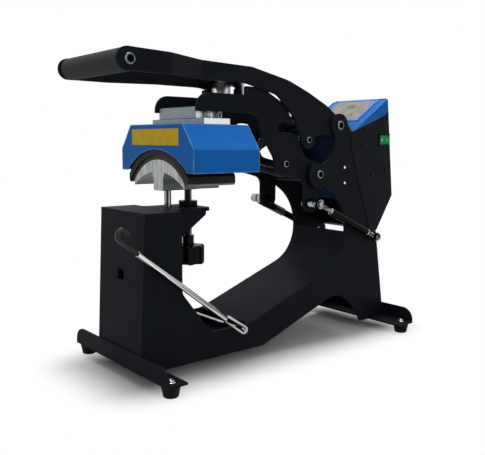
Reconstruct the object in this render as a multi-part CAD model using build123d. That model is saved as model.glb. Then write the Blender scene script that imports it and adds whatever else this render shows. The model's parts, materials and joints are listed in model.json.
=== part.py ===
from build123d import *
import math
import os

# Cap heat press, in millimetres.  X runs to the operator's right, Y away from the operator and Z up.
# Heights count from the table, and depths from the top of the column's front face.  At the end every
# piece moves along Y together, so that the origin lies on the table under the middle of the press.

# ---- frame -------------------------------------------------------------------------------------
FOOT_HEIGHT = 16.0            # rubber feet lift the frame off the table
FOOT_TOP_RADIUS = 13.25
FOOT_TIP_RADIUS = 10.0
FOOT_INSET_SIDE = 14.2        # feet stand this far in from the ends of the angle bars
FRAME_HALF_WIDTH = 63.0       # outer faces of the two side plates
SIDE_PLATE = 4.0
FRONT_PLATE = 4.0
FRONT_EDGE_ROUND = 3.5
COLUMN_TOP = 232.0
TOP_PLATE = 5.0
COLUMN_DEPTH = 57.0
COLUMN_LEAN = 8.0             # how far the column's foot stands forward of its top
COLUMN_KNEE = 118.0           # height at which the rear wall starts to slope into the beam
COLUMN_KNEE_ROUND = 14.0
REAR_WALL_ROUND = 11.0
REAR_WALL_LIFT = 5.0          # rear wall ends this far short of the beam's corner
REAR_WALL = 3.0
BEAM_FLAT = 55.0              # top of the beam behind the column
BEAM_KNEE_Y = 106.0
BEAM_KNEE_ROUND = 12.0
BEAM_SLOPE_ROUND = 40.0
BEAM_SLOPE_Y = 178.0
BEAM_ANGLE = 20.0
THROAT_BACK = 387.0
THROAT_LOWER_RADIUS = 65.0
THROAT_UPPER_CORNER = 222.0
THROAT_UPPER_RADIUS = 78.0
BELLY_START_Y = 206.0         # the underside leaves the table level here
BELLY_START_ROUND = 20.0
BELLY_END_ROUND = 25.0
BELLY_PEAK_Y = 376.4
BELLY_RADIUS = 50.0
BELLY_END_Y = 433.0
BELLY_END_RISE = 21.0
BELLY_END_RUN = 12.0
BACK_FOOT_Y = 490.3
BACK_LEG_TOP_Y = 468.0
BACK_LEG_TOP = 172.7
SEAM_LOW_Y = 448.6            # rear edge of the side plate, where the control box starts
SEAM_LOW = 179.5
SEAM_HIGH_Y = 396.4
SEAM_HIGH = 317.0
SEAM_TOP = 345.0
SEAM_TOP_ROUND = 8.0
SEAM_HIGH_ROUND = 12.0
EDGE_ROUND = 3.0              # small corners of the frame's plates
WEB = 3.0
WEB_TOP = 178.0
GUSSET = 4.0
GUSSET_X = 31.0
GUSSET_DROP = 48.0
TONGUE_HALF_WIDTH = 36.0
TONGUE_END_Y = 128.0
TONGUE_ROUND = 10.0
TONGUE_NECK_ROUND = 8.0
TOP_CORNER_ROUND = 4.0
SLOT_WIDTH = 17.0             # small window in the column's front plate
SLOT_LOW = 136.0
SLOT_HIGH = 150.5
BAR_HALF_LENGTH = 129.0       # angle bars that carry the feet
BAR_HEIGHT = 25.0
BAR_SHEET = 3.0
BAR_ROUND = 20.0
FRONT_BAR_DEPTH = 31.0
REAR_BAR_DEPTH = 38.3
SLOT_CLEARANCE = 0.3          # side plates pass through slots in the angle bars
FOOT_INSET_FRONT = 13.8
FOOT_INSET_REAR = 13.8

# ---- pivots ------------------------------------------------------------------------------------
MAIN_Y = 323.0                # platen arm turns in the tower here
MAIN_Z = 275.6
HANDLE_Y = 368.5              # handle turns in the tower here
HANDLE_Z = 354.3
LINK_Y = 256.5                # lower end of the links, on the platen arm
LINK_Z = 293.0
DRAG_Y = 301.0                # upper end of the links, on the handle
DRAG_Z = 330.4
GAS_TOP_Y = 309.0             # gas spring eye on the platen arm
GAS_TOP_Z = 229.6
GAS_LOW_Y = 450.0             # gas spring eye on the side plate
GAS_LOW_Z = 165.4
SHAFT_RADIUS = 6.0
PIVOT_CLEARANCE = 0.05        # radial play of every running fit
HEAD_RADIUS = 5.6
MAIN_HEAD_RADIUS = 7.0
HANDLE_HEAD_RADIUS = 7.6
HEAD_THICKNESS = 3.0
MAIN_LOBE = 22.3
HANDLE_LOBE = 19.0
SCALLOP_RADIUS = 34.3
SCALLOP_RISE = 50.9           # centre of the tower's round cut-out over the main pivot
LAYER_GAP = 0.5               # between plates that move past each other
CUT_MARGIN = 40.0             # cutting shapes run this far past what they cut
ARM_PLATE = 4.0
HANDLE_PLATE = 4.0
LINK_PLATE = 4.0

# ---- platen arm --------------------------------------------------------------------------------
ARM_FRONT_Y = 88.0
ARM_LOW = 368.5
ARM_TOP = 394.5
ARM_FRONT_ROUND = 22.0
ARM_STEP_Y = 175.0
ARM_STEP_TOP = 407.0
ARM_CREST_RUN = 33.0          # upper edge stays level this far behind the step
ARM_CREST_DROP = 1.0
ARM_CREST_ROUND = 25.0
ARM_SLOPE_DROP = 25.0         # under the step's top, over the link pin
ARM_SLOPE_ROUND = 6.0
ARM_SADDLE_RUN = 24.0         # dip in front of the main pivot
ARM_SADDLE_RISE = 26.0
ARM_SADDLE_ROUND = 12.0
ARM_CHIN_RUN = 6.0            # lower edge round the link pin
ARM_CHIN_DROP = 18.0
ARM_CHIN_ROUND = 10.0
ARM_JAW_RUN = 20.0
ARM_JAW_DROP = 16.0
ARM_JAW_ROUND = 12.0
ARM_CHEEK_RUN = 24.0
ARM_CHEEK_RISE = 10.0
ARM_CHEEK_ROUND = 16.0
ARM_THROAT_RUN = 51.0
ARM_THROAT_DROP = 28.0
ARM_THROAT_ROUND = 20.0
ARM_UNDER_RUN = 60.0
ARM_UNDER_ROUND = 14.0
ARM_LOBE = 20.5
ARM_TAIL_FRONT = 297.0
ARM_TAIL_BACK = 331.0
ARM_TAIL_DROP = 15.0
ARM_TAIL_ROUND = 15.5
ARM_TAIL_SHOULDER = 9.5
ARM_TAIL_SHOULDER_ROUND = 14.0
NOTCH_HALF_WIDTH = 7.5        # curved notch that lets the drag pin swing
NOTCH_START = 25.0
NOTCH_END = 99.0
NOTCH_INSET = 1.6             # the pin runs this much inside the link's own circle
LINK_PIN_RADIUS = 4.0
LINK_EYE_RADIUS = 10.5
LINK_END_SHIFT = 0.8          # the open eye is centred on the pin's mean path
DRAG_PLAY = 2.9               # radial play of the open eye
DRAG_WASHER_RADIUS = 10.0
WASHER = 1.5
TUBE_RADIUS = 13.0
GAS_STUD_RADIUS = 4.0
GAS_STUD_FLANGE = 7.5
GAS_STAND_OFF = 13.0          # gas springs run this far outside the side plates
HEAD_BLOCK_FRONT = 92.0
HEAD_BLOCK_BACK = 137.0
HEAD_BLOCK_TOP = 375.0
HEAD_BLOCK_GAP = 3.0          # between the head block and the arm plates
HEAD_BLOCK_BEVEL = 0.8
HEAD_PLATE_TOP = 359.0
HEAD_PLATE = 8.5
HEAD_PLATE_OVERHANG = 3.0     # head plate is this much wider than the frame on each side
HEAD_PLATE_BEVEL = 0.6
SPACER_RADIUS = 3.6
SPACER_SPACING = 20.0
SPACER_SHIFT = 3.5
MAGNET_Y = 186.0
MAGNET_RADIUS = 25.0
MAGNET_LOW = 394.0
MAGNET_TOP = 418.8
MAGNET_SEAT = 4.0
MAGNET_SEAT_DEPTH = 46.0
MAGNET_EDGE_ROUND = 1.5
ARMATURE_GAP = 0.3
ARMATURE = 8.0
ARMATURE_DEPTH = 36.0
COVER_FRONT = 54.5
COVER_BACK = 168.8
COVER_HALF_WIDTH = 93.7
COVER_LOW = 284.0
COVER_SHOULDER = 316.0
COVER_TOP_HALF_WIDTH = 67.7
COVER_SHEET = 1.5
COVER_BEND = 3.0              # radius of the cover's folds
ARCH_HALF_CHORD = 78.7
ARCH_CROWN = 315.4
PLATEN_AXIS_Z = 218.6         # centre of the curved platens
HEATER_INNER_RADIUS = 88.7
HEATER_THICKNESS = 8.3
HEATER_HALF_WIDTH = 76.0
HEATER_LOW = 269.0
HEATER_FRONT = 56.5
HEATER_BACK = 139.0
POST_RADIUS = 6.0
POST_SPACING = 60.0
POST_Y = 114.5
CONDUIT_X = 25.0
CONDUIT_RADIUS = 5.5
CONDUIT_Z = 294.0
CONDUIT_SAG_Y = 232.0
CONDUIT_END_Z = 277.0
CONDUIT_SAG_START = 30.0      # conduit starts to drop this far in front of the sag's middle
CONDUIT_SAG_END = 40.0
CONDUIT_BEND = 88.0
GLAND_RADIUS = 8.0
GLAND_LENGTH = 8.0

# ---- gas springs -------------------------------------------------------------------------------
EYE_RADIUS = 7.5
EYE_HALF_WIDTH = 5.0
GAS_BODY_RADIUS = 6.0
GAS_ROD_RADIUS = 3.0
GAS_BODY_START = 20.0         # black tube starts this far from the lower eye
GAS_ROD_SHOWN = 11.0
GAS_NECK_RADIUS = 4.2
GAS_BORE_DEPTH = 70.0
GAS_ROD_INSERT = 62.0
GAS_EYE_PLAY = 1.6
GAS_BODY_ROUND = 1.2
GAS_STUD_END = 1.0            # stud stands this far out of the eye
GAS_STUD_HEAD = 2.0
GAS_STUD_NUT = 6.0

# ---- handle ------------------------------------------------------------------------------------
GRIP_Y = -33.0
GRIP_Z = 425.5
GRIP_RADIUS = 15.0
GRIP_END_GAP = 0.4
GRIP_EDGE_ROUND = 3.0
GRIP_BAR_RADIUS = 6.0
GRIP_HEAD_RADIUS = 7.5
GRIP_HEAD_THICKNESS = 3.5
FLARE_START_Y = 93.0
FLARE_END_Y = 27.0
FLARE_REACH = 19.0            # handle plates spread this far outside the frame beside the grip
FLARE_ROUND = 14.0
HANDLE_TIP = 17.0             # plate ends this far in front of the grip's axis
HANDLE_LOW_BACK_Y = 172.0
HANDLE_DRAG_LOBE = 14.5
HANDLE_TIP_RISE = 15.5        # front corners of the handle plate, over and under the grip's axis
HANDLE_TIP_DROP = 14.0
HANDLE_TIP_FLAT = 0.55        # least flat between the rounds of those corners
HANDLE_TIP_ROUND = 15.0
HANDLE_TIP_LOW_ROUND = 14.0
HANDLE_BELLY_ROUND = 80.0     # lower edge, from the grip back to the drag pin
HANDLE_BELLY_DROP = 8.6       # under the armature bar that the plates carry
HANDLE_KNEE_RUN = 62.0
HANDLE_KNEE_DROP = 22.1
HANDLE_KNEE_ROUND = 25.0
HANDLE_HEEL_RUN = 31.0
HANDLE_HEEL_RISE = 33.6
HANDLE_TOE_RUN = 21.0         # behind the drag pin
HANDLE_TOE_RISE = 7.6
HANDLE_TOE_ROUND = 6.0
HANDLE_TOE_LOBE_RISE = 3.0
HANDLE_NECK_RUN = 16.0
HANDLE_CROWN_RUN = 6.0        # upper edge, counted forward and up from the handle's pivot
HANDLE_CROWN_RISE = 16.92
HANDLE_SHOULDER_RUN = 25.5
HANDLE_SHOULDER_RISE = 30.0
HANDLE_SHOULDER_ROUND = 60.0
HANDLE_SLOPE_RUN = 69.5
HANDLE_SLOPE_RISE = 49.7
HANDLE_RIDGE_RUN = 111.5
HANDLE_RIDGE_RISE = 65.2
HANDLE_RIDGE_ROUND = 100.0
HANDLE_LEVEL_RUN = 184.5
HANDLE_LEVEL_RISE = 7.2       # over the armature bar
HANDLE_BROW_RUN = 53.0
HANDLE_BROW_RISE = 13.2
HANDLE_BROW_ROUND = 30.0
HANDLE_END_LOBE = 18.0
HUB_RADIUS = 11.0

# ---- lower platen, spindle and knob ------------------------------------------------------------
PLATEN_RADIUS = 82.4
PLATEN_HALF_WIDTH = 65.2
PLATEN_FRONT = 59.0
PLATEN_BACK = 118.0
PLATEN_CROWN_THICKNESS = 17.0
PLATEN_TIP = 6.8
PLATEN_WEB_HALF_WIDTH = 12.0
PLATEN_WEB_TOP_HALF_WIDTH = 18.0
PLATEN_WEB_LOW = 257.0
PLATEN_WEB_FLARE = 10.0       # web widens over this height under the crown
PLATEN_WEB_SINK = 3.0
PAD_THICKNESS = 6.0
SPINDLE_Y = 110.5
SPINDLE_RADIUS = 6.0
SPINDLE_LOW = 146.0
SPINDLE_SOCKET = 14.0
GUIDE_Y = 75.0
GUIDE_RADIUS = 5.0
GUIDE_LOW = 196.0
GUIDE_BEVEL = 0.8
SPINDLE_TOP_GAP = 0.3
KNOB_RADIUS = 24.5
KNOB_LOW = 146.5
KNOB_HIGH = 174.0
KNOB_SCALLOPS = 7
KNOB_SCALLOP_RADIUS = 8.0
KNOB_SCALLOP_CENTRE = 27.5
KNOB_HUB_RADIUS = 8.5
KNOB_BEVEL = 1.6
KNOB_HUB_TOP = 189.0
NUT_RADIUS = 13.75
NUT_HEIGHT = 8.0
NUT_NOTCHES = 8
NUT_NOTCH_RADIUS = 1.8
NUT_LIFT = 0.3                # running gap over the top plate

# ---- hold-down lever ---------------------------------------------------------------------------
LEVER_Y = 161.5               # pivot of the hold-down lever
LEVER_Z = 49.8
LEVER_STAND_OFF = 7.0         # lever swings this far outside the side plate
CROSSBAR_RADIUS = 2.5
CROSSBAR_OVERHANG = 3.5
CROSSBAR_CAP = 2.0            # head on its left end
CROSSBAR_TIP = 3.75
WIRE_RADIUS = 2.25
HAIRPIN_LENGTH = 41.0
HAIRPIN_ANGLE = 33.5          # rise of the lever towards the operator
LEVER_ROD_RADIUS = 4.0
LEVER_ROD_LENGTH = 181.0
LEVER_ANGLE = 37.2
HOOK_RADIUS = 3.0
HOOK_REACH = 33.0
HOOK_BEND = 7.5
HOOK_TAIL = 7.0

# ---- control box -------------------------------------------------------------------------------
BOX_FRONT_Y = 400.5
BOX_FRONT_TOP = 345.4
BOX_TOP_Y = 489.5
BOX_TOP = 403.5
BOX_BACK_Y = 509.0
BOX_BACK_Z = 234.0
BOX_INNER_LOW = 231.0
BOX_SEAM_GAP = 0.3
BOX_LIP = 6.0                 # box side meets the tower this far under its top
BOX_BACK_WALL = 12.0
BOX_FLOOR_DROP = 5.0
BEZEL_SHEET = 2.0
BEZEL_SIDE_Y = 482.8
BEZEL_SIDE_Z = 374.7
BEZEL_TAIL_RUN = 1.4
BEZEL_TAIL_RISE = 9.0
SCREEN_START = 38.0           # along the sloping lid, from its front edge
SCREEN_LENGTH = 62.0
SCREEN_LEFT = -46.0
SCREEN_RIGHT = 42.0
SCREEN_SURROUND = 5.0
SCREEN_PROUD = 1.0
SWITCH_Y = 482.0
SWITCH_Z = 331.8
SWITCH_LENGTH = 28.0
SWITCH_HEIGHT = 22.0
SWITCH_FRAME = 2.5
SWITCH_FRAME_PROUD = 1.6
SWITCH_POCKET = 11.0
ROCKER_TILT = 8.0
ROCKER_DEPTH = 8.0
ROCKER_TAPER = 0.7            # its back is this share of its face
ROCKER_PLAY = 0.8
ROCKER_PIVOT_DEPTH = 3.0      # pivot lies this far inside the box's side
ROCKER_PIN_RADIUS = 2.0
ROCKER_PIN_PLAY = 0.3
INLET_Z = 268.0
INLET_X = 0.0
INLET_HALF_WIDTH = 24.0
INLET_HALF_HEIGHT = 15.0
INLET_PROUD = 3.0
INLET_POCKET_HALF_WIDTH = 12.0
INLET_POCKET_HALF_HEIGHT = 9.5
INLET_POCKET_DEPTH = 13.0
INLET_PIN_RADIUS = 1.2
INLET_PIN_SPREAD = 7.0
INLET_PIN_DROP = 1.4
INLET_EARTH_RISE = 3.6
INLET_WALL = 2.0

# ---- layers across the press -------------------------------------------------------------------
SIDE_IN = FRAME_HALF_WIDTH - SIDE_PLATE
HANDLE_OUT = SIDE_IN - LAYER_GAP
HANDLE_IN = HANDLE_OUT - HANDLE_PLATE
ARM_OUT = HANDLE_IN - LAYER_GAP
ARM_IN = ARM_OUT - ARM_PLATE
LINK_OUT = ARM_IN - LAYER_GAP
LINK_IN = LINK_OUT - LINK_PLATE
SIDE_PLATE_TOP = COLUMN_TOP - TOP_PLATE
BAR_FRONT_Y = -COLUMN_LEAN - BAR_SHEET
BAR_REAR_Y = BACK_FOOT_Y + BAR_SHEET
GAS_X = FRAME_HALF_WIDTH + GAS_STAND_OFF
LEVER_X = FRAME_HALF_WIDTH + LEVER_STAND_OFF
FLARE_X = FRAME_HALF_WIDTH + FLARE_REACH          # middle of the handle plate beside the grip
CROSSBAR_LEFT_X = -FRAME_HALF_WIDTH - CROSSBAR_OVERHANG
HEAD_BLOCK_HALF_WIDTH = ARM_IN - HEAD_BLOCK_GAP
HEAD_PLATE_HALF_WIDTH = FRAME_HALF_WIDTH + HEAD_PLATE_OVERHANG
FOOT_SPREAD = BAR_HALF_LENGTH - FOOT_INSET_SIDE   # feet left and right of the middle
PLATEN_UNDER_CROWN = PLATEN_AXIS_Z + PLATEN_RADIUS - PLATEN_CROWN_THICKNESS
ROCKER_PIVOT_X = FRAME_HALF_WIDTH - ROCKER_PIVOT_DEPTH


# ---- drawing helpers ---------------------------------------------------------------------------
def outline(corners):
    """Closed face from corners given as (across, up, corner radius)."""
    points = [(across, up) for across, up, radius in corners]
    return make_face(FilletPolyline(*points, radius=[corner[2] for corner in corners], close=True))


def across_x(face, x_low, x_high):
    """Extrude a face drawn as (y, z) from x_low to x_high."""
    return extrude(Plane.YZ.offset(x_low) * face, amount=x_high - x_low)


def along_y(face, y_low, y_high):
    """Extrude a face drawn as (x, z) from y_low to y_high."""
    return extrude(Plane.XZ.offset(-y_high) * face, amount=y_high - y_low)


def up_z(face, z_low, z_high):
    """Extrude a face drawn as (x, y) from z_low to z_high."""
    return extrude(Plane.XY.offset(z_low) * face, amount=z_high - z_low)


def disc(a, b, radius):
    return Pos(a, b) * Circle(radius)


def rod_x(y, z, radius, x_low, x_high):
    return across_x(disc(y, z, radius), x_low, x_high)


def rod_z(x, y, radius, z_low, z_high):
    return up_z(disc(x, y, radius), z_low, z_high)


def rod_y(x, z, radius, y_low, y_high):
    return along_y(disc(x, z, radius), y_low, y_high)


def brick(x_low, x_high, y_low, y_high, z_low, z_high):
    middle = ((x_low + x_high) / 2, (y_low + y_high) / 2, (z_low + z_high) / 2)
    return Pos(*middle) * Box(x_high - x_low, y_high - y_low, z_high - z_low)


def rectangle(a_low, a_high, b_low, b_high):
    return Pos((a_low + a_high) / 2, (b_low + b_high) / 2) * Rectangle(a_high - a_low, b_high - b_low)


def left(part):
    """The mirrored piece on the operator's left."""
    return mirror(part, about=Plane.YZ)


def both(part):
    return [part, left(part)]


def screw_head(y, z, radius, x_face, thickness):
    """Domed head with a hexagon socket that sits on a face at x_face and points right."""
    head = rod_x(y, z, radius, x_face, x_face + thickness)
    head = fillet(head.faces().sort_by(Axis.X)[-1].edges(), thickness * 0.6)
    socket = Pos(y, z) * RegularPolygon(radius * 0.45, 6)
    return head - across_x(socket, x_face + thickness * 0.45, x_face + thickness * 2)


def bent_sheet(path, thickness, radius):
    """Face of a sheet whose one side follows the path, with the thickness on the right hand side."""
    near = list(path)
    far = []
    count = len(path)
    for index in range(count):
        turns = []
        if index > 0:
            turns.append(direction(path[index - 1], path[index]))
        if index < count - 1:
            turns.append(direction(path[index], path[index + 1]))
        middle = (turns[0] + turns[-1]) / 2
        reach = thickness / math.cos((turns[-1] - turns[0]) / 2)
        far.append((path[index][0] + reach * math.sin(middle), path[index][1] - reach * math.cos(middle)))
    corners = []
    for index, point in enumerate(near):
        corners.append((point[0], point[1], bend_radius(path, index, radius, thickness, True)))
    for index in reversed(range(count)):
        corners.append((far[index][0], far[index][1], bend_radius(path, index, radius, thickness, False)))
    return outline(corners)


def direction(start, end):
    return math.atan2(end[1] - start[1], end[0] - start[0])


def bend_radius(path, index, radius, thickness, near):
    """Inner or outer radius of a bend, and none at the ends of the sheet."""
    if index in (0, len(path) - 1):
        return 0
    turn = direction(path[index], path[index + 1]) - direction(path[index - 1], path[index])
    inside = (turn > 0) != near
    return radius + thickness if inside else radius


# ---- side plates -------------------------------------------------------------------------------
slope = math.tan(math.radians(BEAM_ANGLE))
throat_corner_z = BEAM_FLAT + slope * (THROAT_BACK - BEAM_SLOPE_Y)
neck_angle = math.radians(30.0)
lobe_touch_y = MAIN_Y + MAIN_LOBE * math.sin(neck_angle)
lobe_touch_z = MAIN_Z - MAIN_LOBE * math.cos(neck_angle)
belly_peak_z = FOOT_HEIGHT + slope * (BELLY_PEAK_Y - BELLY_START_Y)
belly_end_y = BELLY_END_Y - BELLY_END_RUN

side_outline = outline([
    (FRONT_PLATE - COLUMN_LEAN, FOOT_HEIGHT, 0),
    (FRONT_PLATE - COLUMN_LEAN, FOOT_HEIGHT + BAR_HEIGHT, 0),
    (FRONT_PLATE, SIDE_PLATE_TOP, 0),
    (COLUMN_DEPTH, SIDE_PLATE_TOP, 0),
    (COLUMN_DEPTH, COLUMN_KNEE, COLUMN_KNEE_ROUND),
    (BEAM_KNEE_Y, BEAM_FLAT, BEAM_KNEE_ROUND),
    (BEAM_SLOPE_Y, BEAM_FLAT, BEAM_SLOPE_ROUND),
    (THROAT_BACK, throat_corner_z, THROAT_LOWER_RADIUS),
    (THROAT_BACK, THROAT_UPPER_CORNER, THROAT_UPPER_RADIUS),
    (lobe_touch_y, lobe_touch_z, 0),
    (MAIN_Y, MAIN_Z, 0),
    (HANDLE_Y, HANDLE_Z, 0),
    (HANDLE_Y + HANDLE_LOBE * 0.5, HANDLE_Z + HANDLE_LOBE * 0.866, 0),
    (SEAM_HIGH_Y, SEAM_TOP, SEAM_TOP_ROUND),
    (SEAM_HIGH_Y, SEAM_HIGH, SEAM_HIGH_ROUND),
    (SEAM_LOW_Y, SEAM_LOW, EDGE_ROUND),
    (BACK_LEG_TOP_Y, BACK_LEG_TOP, EDGE_ROUND),
    (BACK_FOOT_Y, FOOT_HEIGHT + BAR_HEIGHT, 0),
    (BACK_FOOT_Y, FOOT_HEIGHT, 0),
    (BELLY_END_Y, FOOT_HEIGHT, 0),
    (belly_end_y, FOOT_HEIGHT + BELLY_END_RISE, BELLY_END_ROUND),
    (BELLY_PEAK_Y, belly_peak_z, BELLY_RADIUS),
    (BELLY_START_Y, FOOT_HEIGHT, BELLY_START_ROUND),
])
side_outline += disc(MAIN_Y, MAIN_Z, MAIN_LOBE)
side_outline += disc(HANDLE_Y, HANDLE_Z, HANDLE_LOBE)
side_outline -= disc(MAIN_Y, MAIN_Z + SCALLOP_RISE, SCALLOP_RADIUS)
side_outline -= disc(MAIN_Y, MAIN_Z, SHAFT_RADIUS)
side_outline -= disc(HANDLE_Y, HANDLE_Z, SHAFT_RADIUS)
side_outline -= disc(GAS_LOW_Y, GAS_LOW_Z, GAS_STUD_RADIUS)
side_outline -= disc(LEVER_Y, LEVER_Z, CROSSBAR_RADIUS + PIVOT_CLEARANCE)
side_plate_right = across_x(side_outline, SIDE_IN, FRAME_HALF_WIDTH)

# ---- column ------------------------------------------------------------------------------------
front_profile = outline([
    (-COLUMN_LEAN, FOOT_HEIGHT + BAR_SHEET, 0),
    (-COLUMN_LEAN, FOOT_HEIGHT + BAR_HEIGHT, 0),
    (0, SIDE_PLATE_TOP, 0),
    (FRONT_PLATE, SIDE_PLATE_TOP, 0),
    (FRONT_PLATE - COLUMN_LEAN, FOOT_HEIGHT + BAR_HEIGHT, 0),
    (FRONT_PLATE - COLUMN_LEAN, FOOT_HEIGHT + BAR_SHEET, 0),
])
column_front = across_x(front_profile, -FRAME_HALF_WIDTH, FRAME_HALF_WIDTH)
bar_top = FOOT_HEIGHT + BAR_HEIGHT


def column_face_y(z):
    """Depth of the column's leaning front face at a height."""
    return -COLUMN_LEAN * min(1, (SIDE_PLATE_TOP - z) / (SIDE_PLATE_TOP - bar_top))


outer_edges = []
for edge in column_front.edges().filter_by(Axis.X, reverse=True):
    middle = edge.center()
    if abs(middle.Y - column_face_y(middle.Z)) < 0.01:
        outer_edges.append(edge)
column_front = fillet(outer_edges, FRONT_EDGE_ROUND)
column_front -= brick(-SLOT_WIDTH / 2, SLOT_WIDTH / 2, -COLUMN_LEAN * 2, COLUMN_LEAN * 2, SLOT_LOW, SLOT_HIGH)

knee_slope = (COLUMN_KNEE - BEAM_FLAT) / (BEAM_KNEE_Y - COLUMN_DEPTH)
rear_path = [
    (COLUMN_DEPTH, SIDE_PLATE_TOP),
    (COLUMN_DEPTH, COLUMN_KNEE),
    (BEAM_KNEE_Y - REAR_WALL_LIFT, BEAM_FLAT + REAR_WALL_LIFT * knee_slope),
]
column_rear = across_x(bent_sheet(rear_path, REAR_WALL, REAR_WALL_ROUND), -SIDE_IN, SIDE_IN)

top_outline = outline([
    (-FRAME_HALF_WIDTH, 0, EDGE_ROUND),
    (FRAME_HALF_WIDTH, 0, EDGE_ROUND),
    (FRAME_HALF_WIDTH, COLUMN_DEPTH, TOP_CORNER_ROUND),
    (TONGUE_HALF_WIDTH, COLUMN_DEPTH, TONGUE_NECK_ROUND),
    (TONGUE_HALF_WIDTH, TONGUE_END_Y, TONGUE_ROUND),
    (-TONGUE_HALF_WIDTH, TONGUE_END_Y, TONGUE_ROUND),
    (-TONGUE_HALF_WIDTH, COLUMN_DEPTH, TONGUE_NECK_ROUND),
    (-FRAME_HALF_WIDTH, COLUMN_DEPTH, TOP_CORNER_ROUND),
])
top_outline -= disc(0, GUIDE_Y, GUIDE_RADIUS + PIVOT_CLEARANCE)
top_outline -= disc(0, SPINDLE_Y, SPINDLE_RADIUS + PIVOT_CLEARANCE)
top_plate = up_z(top_outline, SIDE_PLATE_TOP, COLUMN_TOP)

gusset_outline = outline([
    (COLUMN_DEPTH, SIDE_PLATE_TOP, 0),
    (TONGUE_END_Y - TONGUE_ROUND, SIDE_PLATE_TOP, 0),
    (TONGUE_END_Y - TONGUE_ROUND, SIDE_PLATE_TOP - TOP_PLATE, GUSSET),
    (COLUMN_DEPTH, SIDE_PLATE_TOP - GUSSET_DROP, 0),
])
gussets = both(across_x(gusset_outline, GUSSET_X, GUSSET_X + GUSSET))

web_path = [
    (BEAM_SLOPE_Y, BEAM_FLAT),
    (THROAT_BACK, throat_corner_z),
    (THROAT_BACK, WEB_TOP),
]
beam_web = across_x(bent_sheet(web_path, WEB, THROAT_LOWER_RADIUS), -SIDE_IN, SIDE_IN)


# ---- feet --------------------------------------------------------------------------------------
def foot_bar(face_y, depth, inward):
    """Angle bar along X: an upright flange at face_y and a flat one that runs inward."""
    upright = outline([
        (-BAR_HALF_LENGTH, FOOT_HEIGHT, 0),
        (BAR_HALF_LENGTH, FOOT_HEIGHT, 0),
        (BAR_HALF_LENGTH, bar_top, BAR_ROUND),
        (-BAR_HALF_LENGTH, bar_top, BAR_ROUND),
    ])
    inner_y = face_y + inward * BAR_SHEET
    bar = along_y(upright, min(face_y, inner_y), max(face_y, inner_y))
    far_y = face_y + inward * depth
    bar += brick(-BAR_HALF_LENGTH, BAR_HALF_LENGTH, min(face_y, far_y), max(face_y, far_y),
                 FOOT_HEIGHT, FOOT_HEIGHT + BAR_SHEET)
    return bar


front_bar = foot_bar(BAR_FRONT_Y, FRONT_BAR_DEPTH, 1)
rear_bar = foot_bar(BAR_REAR_Y, REAR_BAR_DEPTH, -1)
for bar_side in (-1, 1):
    plate_middle = bar_side * (FRAME_HALF_WIDTH - SIDE_PLATE / 2)
    plate_half = SIDE_PLATE / 2 + SLOT_CLEARANCE
    slot = brick(plate_middle - plate_half, plate_middle + plate_half, FRONT_PLATE - COLUMN_LEAN, BACK_FOOT_Y,
                 FOOT_HEIGHT, COLUMN_TOP)
    front_bar -= slot
    rear_bar -= slot

foot_side = outline([
    (0, 0, 0),
    (FOOT_TIP_RADIUS, 0, 2),
    (FOOT_TOP_RADIUS, FOOT_HEIGHT, 0),
    (0, FOOT_HEIGHT, 0),
])
foot = revolve(Plane.XZ * foot_side, Axis.Z)
front_foot_y = BAR_FRONT_Y + FOOT_INSET_FRONT
rear_foot_y = BAR_REAR_Y - FOOT_INSET_REAR
rubber_feet = [Pos(x, y, 0) * foot for x in (-FOOT_SPREAD, FOOT_SPREAD) for y in (front_foot_y, rear_foot_y)]

# ---- shafts in the tower -----------------------------------------------------------------------
main_shaft = rod_x(MAIN_Y, MAIN_Z, SHAFT_RADIUS, -FRAME_HALF_WIDTH, FRAME_HALF_WIDTH)
main_head = screw_head(MAIN_Y, MAIN_Z, MAIN_HEAD_RADIUS, FRAME_HALF_WIDTH, HEAD_THICKNESS)
main_shaft = main_shaft + main_head + left(main_head)
handle_shaft = rod_x(HANDLE_Y, HANDLE_Z, SHAFT_RADIUS, -FRAME_HALF_WIDTH, FRAME_HALF_WIDTH)
handle_head = screw_head(HANDLE_Y, HANDLE_Z, HANDLE_HEAD_RADIUS, FRAME_HALF_WIDTH, HEAD_THICKNESS)
handle_shaft = handle_shaft + handle_head + left(handle_head)


# ---- gas springs -------------------------------------------------------------------------------
gas_reach = math.hypot(GAS_TOP_Y - GAS_LOW_Y, GAS_TOP_Z - GAS_LOW_Z)
gas_turn = math.degrees(math.atan2(GAS_TOP_Z - GAS_LOW_Z, GAS_TOP_Y - GAS_LOW_Y))
gas_body_end = gas_reach - GAS_BODY_START - GAS_ROD_SHOWN


def gas_line(part):
    """Place a piece drawn along +X from the lower gas stud on the line of the gas spring."""
    return Pos(GAS_X, GAS_LOW_Y, GAS_LOW_Z) * Rot(gas_turn, 0, 0) * Rot(0, 0, 90) * part


def gas_rod_along(radius, start, end):
    return extrude(Plane.YZ.offset(start) * Circle(radius), amount=end - start)


def gas_eye(place, bore):
    """Ring whose bore lies across the spring."""
    ring = Pos(place, 0, 0) * Rot(90, 0, 0) * Cylinder(EYE_RADIUS, EYE_HALF_WIDTH * 2)
    return ring - Pos(place, 0, 0) * Rot(90, 0, 0) * Cylinder(bore, EYE_HALF_WIDTH * 4)


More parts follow.
